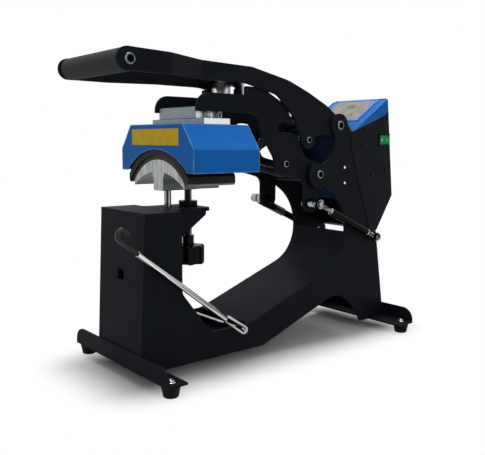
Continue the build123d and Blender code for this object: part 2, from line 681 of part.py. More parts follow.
low_eye = gas_eye(0, GAS_STUD_RADIUS + PIVOT_CLEARANCE)
low_neck = gas_rod_along(GAS_NECK_RADIUS, EYE_RADIUS * 0.8, GAS_BODY_START)
gas_end_fitting_right = gas_line(low_eye + low_neck)
gas_tube = gas_rod_along(GAS_BODY_RADIUS, GAS_BODY_START, gas_body_end)
gas_tube = fillet(gas_tube.edges().filter_by(GeomType.CIRCLE), GAS_BODY_ROUND)
gas_bore = gas_rod_along(GAS_ROD_RADIUS + PIVOT_CLEARANCE, gas_body_end - GAS_BORE_DEPTH, gas_reach)
gas_tube_right = gas_line(gas_tube - gas_bore)
gas_shown_end = gas_reach - GAS_BODY_START
gas_rod = gas_rod_along(GAS_ROD_RADIUS, gas_body_end - GAS_ROD_INSERT, gas_shown_end)
gas_rod += gas_rod_along(GAS_NECK_RADIUS, gas_shown_end, gas_reach - EYE_RADIUS * 0.8)
gas_rod += gas_eye(gas_reach, GAS_STUD_RADIUS + GAS_EYE_PLAY)
gas_rod_right = gas_line(gas_rod)

stud_end = GAS_X + EYE_HALF_WIDTH + GAS_STUD_END
stud_head_start = GAS_X + EYE_HALF_WIDTH + LAYER_GAP
gas_low_stud = rod_x(GAS_LOW_Y, GAS_LOW_Z, GAS_STUD_RADIUS, SIDE_IN, stud_end)
stud_flange_end = GAS_X - EYE_HALF_WIDTH - LAYER_GAP
gas_low_stud += rod_x(GAS_LOW_Y, GAS_LOW_Z, GAS_STUD_FLANGE, FRAME_HALF_WIDTH, stud_flange_end)
gas_low_stud += rod_x(GAS_LOW_Y, GAS_LOW_Z, HEAD_RADIUS, stud_head_start, stud_end + GAS_STUD_HEAD)
gas_low_studs = both(gas_low_stud)

# ---- control box -------------------------------------------------------------------------------
box_side = outline([
    (BOX_FRONT_Y, BOX_FRONT_TOP, 0),
    (BOX_TOP_Y, BOX_TOP, 2),
    (BOX_BACK_Y, BOX_BACK_Z, 6),
    (BACK_LEG_TOP_Y + BOX_SEAM_GAP, BACK_LEG_TOP + BOX_SEAM_GAP, 2),
    (SEAM_LOW_Y + BOX_SEAM_GAP, SEAM_LOW + BOX_SEAM_GAP, 0),
    (SEAM_HIGH_Y + BOX_SEAM_GAP, SEAM_HIGH + BOX_SEAM_GAP, 0),
    (SEAM_HIGH_Y + BOX_SEAM_GAP, SEAM_TOP - BOX_LIP, 0),
])
box_core = outline([
    (BOX_FRONT_Y + BEZEL_SHEET, BOX_INNER_LOW, 0),
    (BOX_FRONT_Y + BEZEL_SHEET, BOX_FRONT_TOP, 0),
    (BOX_TOP_Y, BOX_TOP, 0),
    (BOX_BACK_Y - BOX_BACK_WALL, BOX_INNER_LOW, 0),
])
bezel_side = outline([
    (BOX_FRONT_Y, BOX_FRONT_TOP, 0),
    (BOX_TOP_Y, BOX_TOP, 2),
    (BOX_TOP_Y + BEZEL_TAIL_RUN, BEZEL_SIDE_Z + BEZEL_TAIL_RISE, 0),
    (BEZEL_SIDE_Y, BEZEL_SIDE_Z, 5),
])
box_inner = SIDE_IN - BOX_SEAM_GAP
bezel_wedge = across_x(bezel_side, -FRAME_HALF_WIDTH, FRAME_HALF_WIDTH)
bezel_wall = brick(-box_inner, box_inner, BOX_FRONT_Y, BOX_FRONT_Y + BEZEL_SHEET,
                   BOX_INNER_LOW, BOX_FRONT_TOP + BEZEL_SHEET / 2)
control_box = across_x(box_side, SIDE_IN, FRAME_HALF_WIDTH)
control_box = control_box + left(control_box)
control_box += across_x(box_core, -box_inner, box_inner)
control_box += across_x(box_side, -SIDE_IN, SIDE_IN) & brick(
    -SIDE_IN, SIDE_IN, SEAM_LOW_Y, BOX_BACK_Y, BACK_LEG_TOP - BOX_FLOOR_DROP, BOX_TOP)
control_box -= bezel_wedge + bezel_wall

pocket_half_length = SWITCH_LENGTH / 2 - SWITCH_FRAME
pocket_half_height = SWITCH_HEIGHT / 2 - SWITCH_FRAME
switch_pocket = brick(FRAME_HALF_WIDTH - SWITCH_POCKET, FRAME_HALF_WIDTH + SWITCH_FRAME,
                      SWITCH_Y - pocket_half_length, SWITCH_Y + pocket_half_length,
                      SWITCH_Z - pocket_half_height, SWITCH_Z + pocket_half_height)
control_box -= switch_pocket
bezel = bezel_wedge + bezel_wall

lid_angle = math.degrees(math.atan2(BOX_TOP - BOX_FRONT_TOP, BOX_TOP_Y - BOX_FRONT_Y))
lid = Plane(origin=(0, BOX_FRONT_Y, BOX_FRONT_TOP), x_dir=(1, 0, 0),
            z_dir=(0, -math.sin(math.radians(lid_angle)), math.cos(math.radians(lid_angle))))
screen_face = rectangle(SCREEN_LEFT, SCREEN_RIGHT, SCREEN_START, SCREEN_START + SCREEN_LENGTH)
surround_face = rectangle(SCREEN_LEFT - SCREEN_SURROUND, SCREEN_RIGHT + SCREEN_SURROUND,
                          SCREEN_START - SCREEN_SURROUND, SCREEN_START + SCREEN_LENGTH + SCREEN_SURROUND)
screen_surround = extrude(lid * (surround_face - screen_face), amount=SCREEN_PROUD)
screen = extrude(lid * screen_face, amount=SCREEN_PROUD * 0.6)

switch_face = rectangle(SWITCH_Y - SWITCH_LENGTH / 2, SWITCH_Y + SWITCH_LENGTH / 2,
                        SWITCH_Z - SWITCH_HEIGHT / 2, SWITCH_Z + SWITCH_HEIGHT / 2)
switch_hole = rectangle(SWITCH_Y - pocket_half_length, SWITCH_Y + pocket_half_length,
                        SWITCH_Z - pocket_half_height, SWITCH_Z + pocket_half_height)
switch_frame = across_x(switch_face - switch_hole, FRAME_HALF_WIDTH, FRAME_HALF_WIDTH + SWITCH_FRAME_PROUD)

rocker_half = pocket_half_length - ROCKER_PLAY
rocker_back = -ROCKER_DEPTH / 2
rocker_lift = rocker_half * math.tan(math.radians(ROCKER_TILT))
rocker_face = rocker_back + ROCKER_DEPTH
rocker_outline = Polyline(
    (rocker_back, -rocker_half * ROCKER_TAPER),
    (rocker_face + rocker_lift, -rocker_half),
    (rocker_face, 0),
    (rocker_face + rocker_lift, rocker_half),
    (rocker_back, rocker_half * ROCKER_TAPER),
    close=True)
rocker_half_height = pocket_half_height - ROCKER_PLAY
rocker = up_z(make_face(rocker_outline), -rocker_half_height, rocker_half_height)
rocker_pin_half = pocket_half_height - ROCKER_PIN_PLAY
rocker += up_z(Circle(ROCKER_PIN_RADIUS), -rocker_pin_half, rocker_pin_half)
rocker = Pos(ROCKER_PIVOT_X, SWITCH_Y, SWITCH_Z) * Rot(0, 0, -ROCKER_TILT) * rocker

back_angle = math.degrees(math.atan2(BOX_BACK_Y - BOX_TOP_Y, BOX_TOP - BOX_BACK_Z))
inlet_share = (BOX_TOP - INLET_Z) / (BOX_TOP - BOX_BACK_Z)
inlet_y = BOX_TOP_Y + inlet_share * (BOX_BACK_Y - BOX_TOP_Y)
back = Plane(origin=(INLET_X, inlet_y, INLET_Z), x_dir=(-1, 0, 0),
             z_dir=(0, math.cos(math.radians(back_angle)), math.sin(math.radians(back_angle))))
inlet_face = RectangleRounded(INLET_HALF_WIDTH * 2, INLET_HALF_HEIGHT * 2, 3)
inlet_hole = outline([
    (-INLET_POCKET_HALF_WIDTH, -INLET_POCKET_HALF_HEIGHT, 1),
    (INLET_POCKET_HALF_WIDTH, -INLET_POCKET_HALF_HEIGHT, 1),
    (INLET_POCKET_HALF_WIDTH, INLET_POCKET_HALF_HEIGHT * 0.4, 1),
    (INLET_POCKET_HALF_WIDTH * 0.6, INLET_POCKET_HALF_HEIGHT, 1),
    (-INLET_POCKET_HALF_WIDTH * 0.6, INLET_POCKET_HALF_HEIGHT, 1),
    (-INLET_POCKET_HALF_WIDTH, INLET_POCKET_HALF_HEIGHT * 0.4, 1),
])
housing_half_width = INLET_POCKET_HALF_WIDTH + INLET_WALL
housing_half_height = INLET_POCKET_HALF_HEIGHT + INLET_WALL
inlet_housing = rectangle(-housing_half_width, housing_half_width, -housing_half_height, housing_half_height)
power_inlet = extrude(back * inlet_face, amount=INLET_PROUD)
power_inlet += extrude(back * inlet_housing, amount=-INLET_POCKET_DEPTH - INLET_WALL)
power_inlet -= extrude(back * inlet_hole, amount=INLET_PROUD)
power_inlet -= extrude(back * inlet_hole, amount=-INLET_POCKET_DEPTH)
inlet_pins = [
    (-INLET_PIN_SPREAD, -INLET_PIN_DROP),
    (0, INLET_EARTH_RISE),
    (INLET_PIN_SPREAD, -INLET_PIN_DROP),
]
for pin_x, pin_y in inlet_pins:
    power_inlet += extrude(back * disc(pin_x, pin_y, INLET_PIN_RADIUS), amount=-INLET_POCKET_DEPTH)
control_box -= extrude(back * inlet_housing, amount=-INLET_POCKET_DEPTH - INLET_WALL)

# ---- platen arm --------------------------------------------------------------------------------
arm_outline = outline([
    (ARM_FRONT_Y, ARM_LOW, 0),
    (ARM_FRONT_Y, ARM_TOP, ARM_FRONT_ROUND),
    (ARM_STEP_Y, ARM_TOP, 1.5),
    (ARM_STEP_Y, ARM_STEP_TOP, EDGE_ROUND),
    (ARM_STEP_Y + ARM_CREST_RUN, ARM_STEP_TOP - ARM_CREST_DROP, ARM_CREST_ROUND),
    (LINK_Y, ARM_STEP_TOP - ARM_SLOPE_DROP, ARM_SLOPE_ROUND),
    (MAIN_Y - ARM_SADDLE_RUN, MAIN_Z + ARM_SADDLE_RISE, ARM_SADDLE_ROUND),
    (MAIN_Y, MAIN_Z + ARM_LOBE, 0),
    (MAIN_Y, MAIN_Z, 0),
    (ARM_TAIL_BACK, MAIN_Z - ARM_LOBE * 0.7, 0),
    (ARM_TAIL_BACK, GAS_TOP_Z - ARM_TAIL_DROP, ARM_TAIL_ROUND),
    (ARM_TAIL_FRONT, GAS_TOP_Z - ARM_TAIL_DROP, ARM_TAIL_ROUND),
    (ARM_TAIL_FRONT, MAIN_Z - ARM_TAIL_SHOULDER, ARM_TAIL_SHOULDER_ROUND),
    (LINK_Y + ARM_CHIN_RUN, LINK_Z - ARM_CHIN_DROP, ARM_CHIN_ROUND),
    (LINK_Y - ARM_JAW_RUN, LINK_Z - ARM_JAW_DROP, ARM_JAW_ROUND),
    (LINK_Y - ARM_CHEEK_RUN, LINK_Z + ARM_CHEEK_RISE, ARM_CHEEK_ROUND),
    (LINK_Y - ARM_THROAT_RUN, ARM_LOW - ARM_THROAT_DROP, ARM_THROAT_ROUND),
    (LINK_Y - ARM_UNDER_RUN, ARM_LOW, ARM_UNDER_ROUND),
])
arm_outline += disc(MAIN_Y, MAIN_Z, ARM_LOBE)
link_length = math.hypot(DRAG_Y - LINK_Y, DRAG_Z - LINK_Z)
notch_radius = link_length - NOTCH_INSET
notch_start = math.radians(NOTCH_START)
notch_end = math.radians(NOTCH_END)


def notch_point(angle, radius):
    return (LINK_Y + radius * math.cos(angle), LINK_Z + radius * math.sin(angle))


notch_middle = (notch_start + notch_end) / 2
notch_inner = notch_radius - NOTCH_HALF_WIDTH
notch_outer = notch_radius + NOTCH_HALF_WIDTH
notch_arc_out = ThreePointArc(notch_point(notch_start, notch_outer), notch_point(notch_middle, notch_outer),
                              notch_point(notch_end, notch_outer))
notch_arc_in = ThreePointArc(notch_point(notch_end, notch_inner), notch_point(notch_middle, notch_inner),
                             notch_point(notch_start, notch_inner))
notch_far = Line(notch_point(notch_end, notch_outer), notch_point(notch_end, notch_inner))
notch_near = Line(notch_point(notch_start, notch_inner), notch_point(notch_start, notch_outer))
notch = make_face([notch_arc_out, notch_far, notch_arc_in, notch_near])
notch_round_y, notch_round_z = notch_point(notch_end, notch_radius)
arm_outline -= notch + disc(notch_round_y, notch_round_z, NOTCH_HALF_WIDTH)
arm_outline -= disc(MAIN_Y, MAIN_Z, SHAFT_RADIUS + PIVOT_CLEARANCE)
arm_outline -= disc(LINK_Y, LINK_Z, LINK_PIN_RADIUS)
arm_outline -= disc(GAS_TOP_Y, GAS_TOP_Z, GAS_STUD_RADIUS)
arm_plate_right = across_x(arm_outline, ARM_IN, ARM_OUT)

tube_face = disc(MAIN_Y, MAIN_Z, TUBE_RADIUS) - disc(MAIN_Y, MAIN_Z, SHAFT_RADIUS + PIVOT_CLEARANCE)
pivot_tube = across_x(tube_face, -ARM_IN, ARM_IN)

link_pin = rod_x(LINK_Y, LINK_Z, LINK_PIN_RADIUS, LINK_IN - LAYER_GAP, ARM_OUT)
link_pin += screw_head(LINK_Y, LINK_Z, HEAD_RADIUS, ARM_OUT, HEAD_THICKNESS)
link_pin += rod_x(LINK_Y, LINK_Z, HEAD_RADIUS + 1.5, LINK_IN - LAYER_GAP - WASHER, LINK_IN - LAYER_GAP)
link_pins = both(link_pin)

gas_top_stud = rod_x(GAS_TOP_Y, GAS_TOP_Z, GAS_STUD_RADIUS, ARM_IN, stud_end)
gas_top_stud += rod_x(GAS_TOP_Y, GAS_TOP_Z, GAS_STUD_FLANGE, ARM_OUT, stud_flange_end)
gas_top_stud += rod_x(GAS_TOP_Y, GAS_TOP_Z, HEAD_RADIUS, stud_head_start, stud_end + GAS_STUD_HEAD)
gas_top_stud += rod_x(GAS_TOP_Y, GAS_TOP_Z, GAS_STUD_FLANGE, ARM_IN - GAS_STUD_NUT, ARM_IN)
gas_top_studs = both(gas_top_stud)

# ---- links -------------------------------------------------------------------------------------
link_turn = math.degrees(math.atan2(DRAG_Z - LINK_Z, DRAG_Y - LINK_Y))
eye_reach = link_length - LINK_END_SHIFT
link_face = Circle(LINK_EYE_RADIUS) + Pos(eye_reach, 0) * Circle(LINK_EYE_RADIUS)
link_face += rectangle(0, eye_reach, -LINK_EYE_RADIUS * 0.72, LINK_EYE_RADIUS * 0.72)
link_face -= Circle(LINK_PIN_RADIUS + PIVOT_CLEARANCE)
link_face -= Pos(eye_reach, 0) * Circle(LINK_PIN_RADIUS + DRAG_PLAY)
link_right = across_x(Pos(LINK_Y, LINK_Z) * Rot(0, 0, link_turn) * link_face, LINK_IN, LINK_OUT)

# ---- head, cover and heat platen ---------------------------------------------------------------
head_block = brick(-HEAD_BLOCK_HALF_WIDTH, HEAD_BLOCK_HALF_WIDTH, HEAD_BLOCK_FRONT, HEAD_BLOCK_BACK,
                   HEAD_PLATE_TOP, HEAD_BLOCK_TOP)
head_block = chamfer(head_block.faces().sort_by(Axis.Z)[-1].edges().filter_by(Axis.X), HEAD_BLOCK_BEVEL)
head_plate_low = HEAD_PLATE_TOP - HEAD_PLATE
head_plate = brick(-HEAD_PLATE_HALF_WIDTH, HEAD_PLATE_HALF_WIDTH, HEAD_BLOCK_FRONT, HEAD_BLOCK_BACK,
                   head_plate_low, HEAD_PLATE_TOP)
head_plate = chamfer(head_plate.faces().sort_by(Axis.Z)[-1].edges(), HEAD_PLATE_BEVEL)
head_middle_y = (HEAD_BLOCK_FRONT + HEAD_BLOCK_BACK) / 2 + SPACER_SHIFT
spacer_x = (ARM_IN + ARM_OUT) / 2
head_spacers = []
for spacer_side in (-1, 1):
    for spacer_step in (-0.5, 0.5):
        spacer_y = head_middle_y + spacer_step * SPACER_SPACING
        head_spacers.append(rod_z(spacer_side * spacer_x, spacer_y, SPACER_RADIUS, HEAD_PLATE_TOP, ARM_LOW))

cover_outline = outline([
    (-COVER_HALF_WIDTH, COVER_LOW, 0),
    (COVER_HALF_WIDTH, COVER_LOW, 0),
    (COVER_HALF_WIDTH, COVER_SHOULDER, COVER_BEND),
    (COVER_TOP_HALF_WIDTH, head_plate_low, COVER_BEND),
    (-COVER_TOP_HALF_WIDTH, head_plate_low, COVER_BEND),
    (-COVER_HALF_WIDTH, COVER_SHOULDER, COVER_BEND),
])
arch_rise = ARCH_CROWN - COVER_LOW
arch_radius = (ARCH_HALF_CHORD ** 2 + arch_rise ** 2) / (2 * arch_rise)
cover = along_y(cover_outline, COVER_FRONT, COVER_BACK)
inside_outline = offset(cover_outline, amount=-COVER_SHEET)
inside_half_width = COVER_HALF_WIDTH - COVER_SHEET
inside_outline += rectangle(-inside_half_width, inside_half_width,
                            COVER_LOW - COVER_SHEET, COVER_SHOULDER - COVER_BEND)
cover -= along_y(inside_outline, COVER_FRONT + COVER_SHEET, COVER_BACK - COVER_SHEET)
cover -= rod_y(0, ARCH_CROWN - arch_radius, arch_radius, COVER_FRONT - CUT_MARGIN, COVER_BACK + CUT_MARGIN)
post_places = [(x, POST_Y) for x in (-POST_SPACING / 2, POST_SPACING / 2)]
for post_x, post_y in post_places:
    cover -= rod_z(post_x, post_y, POST_RADIUS, HEATER_LOW, COLUMN_TOP * 2)

heater_outer = HEATER_INNER_RADIUS + HEATER_THICKNESS
heater_face = disc(0, PLATEN_AXIS_Z, heater_outer) - disc(0, PLATEN_AXIS_Z, HEATER_INNER_RADIUS)
heater_face &= rectangle(-HEATER_HALF_WIDTH, HEATER_HALF_WIDTH, HEATER_LOW, PLATEN_AXIS_Z + heater_outer * 2)
heat_platen = along_y(heater_face, HEATER_FRONT, HEATER_BACK)
heater_posts = []
for post_x, post_y in post_places:
    post = rod_z(post_x, post_y, POST_RADIUS, PLATEN_AXIS_Z, head_plate_low)
    post -= rod_y(0, PLATEN_AXIS_Z, heater_outer, HEATER_FRONT, HEATER_BACK)
    heater_posts.append(post)

magnet_seat = brick(-ARM_IN, ARM_IN, MAGNET_Y - MAGNET_SEAT_DEPTH / 2, MAGNET_Y + MAGNET_SEAT_DEPTH / 2,
                    MAGNET_LOW - MAGNET_SEAT, MAGNET_LOW)
electromagnet = rod_z(0, MAGNET_Y, MAGNET_RADIUS, MAGNET_LOW, MAGNET_TOP)
electromagnet = fillet(electromagnet.edges().filter_by(GeomType.CIRCLE), MAGNET_EDGE_ROUND)

conduit_start_y = COVER_BACK + GLAND_LENGTH
conduit_end_y = MAIN_Y - TUBE_RADIUS - GLAND_LENGTH
conduit_route = [
    (CONDUIT_X, COVER_BACK, CONDUIT_Z),
    (CONDUIT_X, CONDUIT_SAG_Y - CONDUIT_SAG_START, CONDUIT_Z),
    (CONDUIT_X, CONDUIT_SAG_Y + CONDUIT_SAG_END, CONDUIT_END_Z),
    (CONDUIT_X, conduit_end_y, CONDUIT_END_Z),
]
conduit_line = FilletPolyline(*conduit_route, radius=CONDUIT_BEND)
conduit_end = Plane(origin=conduit_line @ 0, z_dir=conduit_line % 0)
conduit = sweep(conduit_end * Circle(CONDUIT_RADIUS), path=conduit_line)
cover_gland = rod_y(CONDUIT_X, CONDUIT_Z, GLAND_RADIUS, COVER_BACK, conduit_start_y)
cover_gland -= rod_y(CONDUIT_X, CONDUIT_Z, CONDUIT_RADIUS, COVER_BACK, conduit_start_y)
tube_gland = rod_y(CONDUIT_X, CONDUIT_END_Z, GLAND_RADIUS, conduit_end_y, MAIN_Y)
tube_gland -= rod_x(MAIN_Y, MAIN_Z, TUBE_RADIUS, 0, FRAME_HALF_WIDTH)
conduit_glands = [cover_gland, tube_gland]

# ---- handle ------------------------------------------------------------------------------------
armature_low = MAGNET_TOP + ARMATURE_GAP
armature_top = armature_low + ARMATURE
belly_z = armature_low - HANDLE_BELLY_DROP
belly_slope = math.atan2(belly_z - GRIP_Z + HANDLE_TIP_DROP, HANDLE_LOW_BACK_Y - GRIP_Y + HANDLE_TIP)
tip_room = HANDLE_TIP_RISE + HANDLE_TIP_DROP - HANDLE_TIP_ROUND - HANDLE_TIP_FLAT
tip_low_round = min(HANDLE_TIP_LOW_ROUND, tip_room * math.tan(math.pi / 4 - belly_slope / 2))
level_z = armature_top + HANDLE_LEVEL_RISE
handle_outline = outline([
    (GRIP_Y - HANDLE_TIP, GRIP_Z + HANDLE_TIP_RISE, HANDLE_TIP_ROUND),
    (GRIP_Y - HANDLE_TIP, GRIP_Z - HANDLE_TIP_DROP, tip_low_round),
    (HANDLE_LOW_BACK_Y, belly_z, HANDLE_BELLY_ROUND),
    (HANDLE_LOW_BACK_Y + HANDLE_KNEE_RUN, armature_low - HANDLE_KNEE_DROP, HANDLE_KNEE_ROUND),
    (DRAG_Y - HANDLE_HEEL_RUN, DRAG_Z + HANDLE_HEEL_RISE, HANDLE_KNEE_ROUND),
    (DRAG_Y - HANDLE_DRAG_LOBE, DRAG_Z, 0),
    (DRAG_Y, DRAG_Z, 0),
    (DRAG_Y + HANDLE_DRAG_LOBE, DRAG_Z + HANDLE_TOE_LOBE_RISE, 0),
    (DRAG_Y + HANDLE_TOE_RUN, DRAG_Z + HANDLE_TOE_RISE, HANDLE_TOE_ROUND),
    (HANDLE_Y - HANDLE_NECK_RUN, DRAG_Z + HANDLE_TOE_RISE, 0),
    (HANDLE_Y, HANDLE_Z, 0),
    (HANDLE_Y - HANDLE_CROWN_RUN, HANDLE_Z + HANDLE_CROWN_RISE, 0),
    (HANDLE_Y - HANDLE_SHOULDER_RUN, HANDLE_Z + HANDLE_SHOULDER_RISE, HANDLE_SHOULDER_ROUND),
    (HANDLE_Y - HANDLE_SLOPE_RUN, HANDLE_Z + HANDLE_SLOPE_RISE, HANDLE_RIDGE_ROUND),
    (HANDLE_Y - HANDLE_RIDGE_RUN, HANDLE_Z + HANDLE_RIDGE_RISE, HANDLE_RIDGE_ROUND),
    (HANDLE_Y - HANDLE_LEVEL_RUN, level_z, HANDLE_SHOULDER_ROUND),
    (GRIP_Y + HANDLE_BROW_RUN, GRIP_Z + HANDLE_BROW_RISE, HANDLE_BROW_ROUND),
])
handle_outline += disc(HANDLE_Y, HANDLE_Z, HANDLE_END_LOBE)
handle_outline += disc(DRAG_Y, DRAG_Z, HANDLE_DRAG_LOBE)
handle_outline -= disc(HANDLE_Y, HANDLE_Z, SHAFT_RADIUS + PIVOT_CLEARANCE)
handle_outline -= disc(DRAG_Y, DRAG_Z, LINK_PIN_RADIUS)
handle_outline -= disc(GRIP_Y, GRIP_Z, GRIP_BAR_RADIUS)
flare_in = FLARE_X - HANDLE_PLATE / 2
plan_path = [
    (HANDLE_OUT, HANDLE_Y + CUT_MARGIN),
    (HANDLE_OUT, FLARE_START_Y),
    (flare_in + HANDLE_PLATE, FLARE_END_Y),
    (flare_in + HANDLE_PLATE, GRIP_Y - CUT_MARGIN),
]
strip_top = max(GRIP_Z + HANDLE_TIP_RISE, level_z) + CUT_MARGIN
plan_strip = up_z(bent_sheet(plan_path, HANDLE_PLATE, FLARE_ROUND), BEAM_FLAT, strip_top)
handle_plate_right = across_x(handle_outline, 0, FLARE_X + CUT_MARGIN) & plan_strip

grip_bar = rod_x(GRIP_Y, GRIP_Z, GRIP_BAR_RADIUS, -flare_in - HANDLE_PLATE, flare_in + HANDLE_PLATE)
grip_head = screw_head(GRIP_Y, GRIP_Z, GRIP_HEAD_RADIUS, flare_in + HANDLE_PLATE, GRIP_HEAD_THICKNESS)
grip_bar = grip_bar + grip_head + left(grip_head)
grip_half_length = flare_in - GRIP_END_GAP
grip = rod_x(GRIP_Y, GRIP_Z, GRIP_RADIUS, -grip_half_length, grip_half_length)
grip = fillet(grip.edges().filter_by(GeomType.CIRCLE), GRIP_EDGE_ROUND)
grip -= rod_x(GRIP_Y, GRIP_Z, GRIP_BAR_RADIUS, -grip_half_length, grip_half_length)

armature = brick(-HANDLE_IN, HANDLE_IN, MAGNET_Y - ARMATURE_DEPTH / 2, MAGNET_Y + ARMATURE_DEPTH / 2,
                 armature_low, armature_top)

drag_pin = rod_x(DRAG_Y, DRAG_Z, LINK_PIN_RADIUS, LINK_IN - LAYER_GAP, HANDLE_OUT)
drag_pin += screw_head(DRAG_Y, DRAG_Z, HEAD_RADIUS, HANDLE_OUT, HEAD_THICKNESS)
drag_pin += rod_x(DRAG_Y, DRAG_Z, DRAG_WASHER_RADIUS, LINK_IN - LAYER_GAP - WASHER, LINK_IN - LAYER_GAP)
drag_pins = both(drag_pin)

hub_face = disc(HANDLE_Y, HANDLE_Z, HUB_RADIUS) - disc(HANDLE_Y, HANDLE_Z, SHAFT_RADIUS + PIVOT_CLEARANCE)
handle_hub = across_x(hub_face, -HANDLE_IN, HANDLE_IN)

# ---- lower platen ------------------------------------------------------------------------------
platen_tip_z = PLATEN_AXIS_Z + math.sqrt(PLATEN_RADIUS ** 2 - PLATEN_HALF_WIDTH ** 2)
under_rise = PLATEN_UNDER_CROWN - (platen_tip_z - PLATEN_TIP)
under_radius = (PLATEN_HALF_WIDTH ** 2 + under_rise ** 2) / (2 * under_rise)
platen_face = disc(0, PLATEN_AXIS_Z, PLATEN_RADIUS)
platen_face &= rectangle(-PLATEN_HALF_WIDTH, PLATEN_HALF_WIDTH,
                         PLATEN_AXIS_Z, PLATEN_AXIS_Z + PLATEN_RADIUS * 2)
platen_face -= disc(0, PLATEN_UNDER_CROWN - under_radius, under_radius)
platen_face -= rectangle(-PLATEN_RADIUS, PLATEN_RADIUS, 0, platen_tip_z - PLATEN_TIP)
platen_face += outline([
    (-PLATEN_WEB_HALF_WIDTH, PLATEN_WEB_LOW, 2),
    (PLATEN_WEB_HALF_WIDTH, PLATEN_WEB_LOW, 2),
    (PLATEN_WEB_HALF_WIDTH, PLATEN_UNDER_CROWN - PLATEN_WEB_FLARE, 6),
    (PLATEN_WEB_TOP_HALF_WIDTH, PLATEN_UNDER_CROWN + PLATEN_WEB_SINK, 0),
    (-PLATEN_WEB_TOP_HALF_WIDTH, PLATEN_UNDER_CROWN + PLATEN_WEB_SINK, 0),
    (-PLATEN_WEB_HALF_WIDTH, PLATEN_UNDER_CROWN - PLATEN_WEB_FLARE, 6),
])
lower_platen = along_y(platen_face, PLATEN_FRONT, PLATEN_BACK)
spindle_top = PLATEN_WEB_LOW + SPINDLE_SOCKET
lower_platen -= rod_z(0, SPINDLE_Y, SPINDLE_RADIUS + PIVOT_CLEARANCE, PLATEN_WEB_LOW, spindle_top)
lower_platen -= rod_z(0, GUIDE_Y, GUIDE_RADIUS, PLATEN_WEB_LOW, spindle_top)

pad_radius = PLATEN_RADIUS + PAD_THICKNESS
pad_face = disc(0, PLATEN_AXIS_Z, pad_radius) - disc(0, PLATEN_AXIS_Z, PLATEN_RADIUS)
pad_face &= rectangle(-pad_radius, pad_radius, platen_tip_z, PLATEN_AXIS_Z + pad_radius * 2)
silicone_pad = along_y(pad_face, PLATEN_FRONT, PLATEN_BACK)

guide_rod = rod_z(0, GUIDE_Y, GUIDE_RADIUS, GUIDE_LOW, spindle_top)
guide_rod = chamfer(guide_rod.faces().sort_by(Axis.Z)[0].edges(), GUIDE_BEVEL)

# ---- spindle, knob and lock nut ----------------------------------------------------------------
spindle = rod_z(0, SPINDLE_Y, SPINDLE_RADIUS, SPINDLE_LOW, spindle_top - SPINDLE_TOP_GAP)
knob_face = Circle(KNOB_RADIUS)
for scallop in range(KNOB_SCALLOPS):
    turn = Rot(0, 0, 360 / KNOB_SCALLOPS * scallop)
    knob_face -= turn * Pos(KNOB_SCALLOP_CENTRE, 0) * Circle(KNOB_SCALLOP_RADIUS)
star_knob = up_z(Pos(0, SPINDLE_Y) * knob_face, KNOB_LOW, KNOB_HIGH)
knob_faces = star_knob.faces().sort_by(Axis.Z)
star_knob = chamfer(knob_faces[0].edges() + knob_faces[-1].edges(), KNOB_BEVEL)
star_knob += rod_z(0, SPINDLE_Y, KNOB_HUB_RADIUS, KNOB_HIGH, KNOB_HUB_TOP)
star_knob -= rod_z(0, SPINDLE_Y, SPINDLE_RADIUS, SPINDLE_LOW, KNOB_HUB_TOP)
nut_face = Circle(NUT_RADIUS) - Circle(SPINDLE_RADIUS + PIVOT_CLEARANCE)
for notch_index in range(NUT_NOTCHES):
    nut_face -= Rot(0, 0, 360 / NUT_NOTCHES * notch_index) * Pos(NUT_RADIUS, 0) * Circle(NUT_NOTCH_RADIUS)
lock_nut = up_z(Pos(0, SPINDLE_Y) * nut_face, COLUMN_TOP + NUT_LIFT, COLUMN_TOP + NUT_LIFT + NUT_HEIGHT)

# ---- hold-down lever ---------------------------------------------------------------------------
hairpin_half = CROSSBAR_RADIUS + WIRE_RADIUS
lever_crossbar = rod_x(LEVER_Y, LEVER_Z, CROSSBAR_RADIUS, CROSSBAR_LEFT_X, LEVER_X + CROSSBAR_TIP)
cap_start = CROSSBAR_LEFT_X - CROSSBAR_CAP
lever_crossbar += rod_x(LEVER_Y, LEVER_Z, CROSSBAR_RADIUS + CROSSBAR_CAP, cap_start, CROSSBAR_LEFT_X)


def lever_place(part, y, z, angle):
    """Place a piece drawn along +X in the XY plane so that it rises towards the operator."""
    start = Plane(origin=(LEVER_X, y, z), x_dir=(0, -1, 0), z_dir=(-1, 0, 0))
    return start.location * Rot(0, 0, angle) * part


hairpin_line = Line((HAIRPIN_LENGTH, hairpin_half), (0, hairpin_half))
hairpin_line += ThreePointArc((0, hairpin_half), (-hairpin_half, 0), (0, -hairpin_half))
hairpin_line += Line((0, -hairpin_half), (HAIRPIN_LENGTH, -hairpin_half))
hairpin_start = Plane(origin=(HAIRPIN_LENGTH, hairpin_half, 0), z_dir=(-1, 0, 0))
hairpin = sweep(hairpin_start * Circle(WIRE_RADIUS), path=hairpin_line)
hairpin -= Cylinder(CROSSBAR_RADIUS, LEVER_X)
lever_hairpin = lever_place(hairpin, LEVER_Y, LEVER_Z, HAIRPIN_ANGLE)

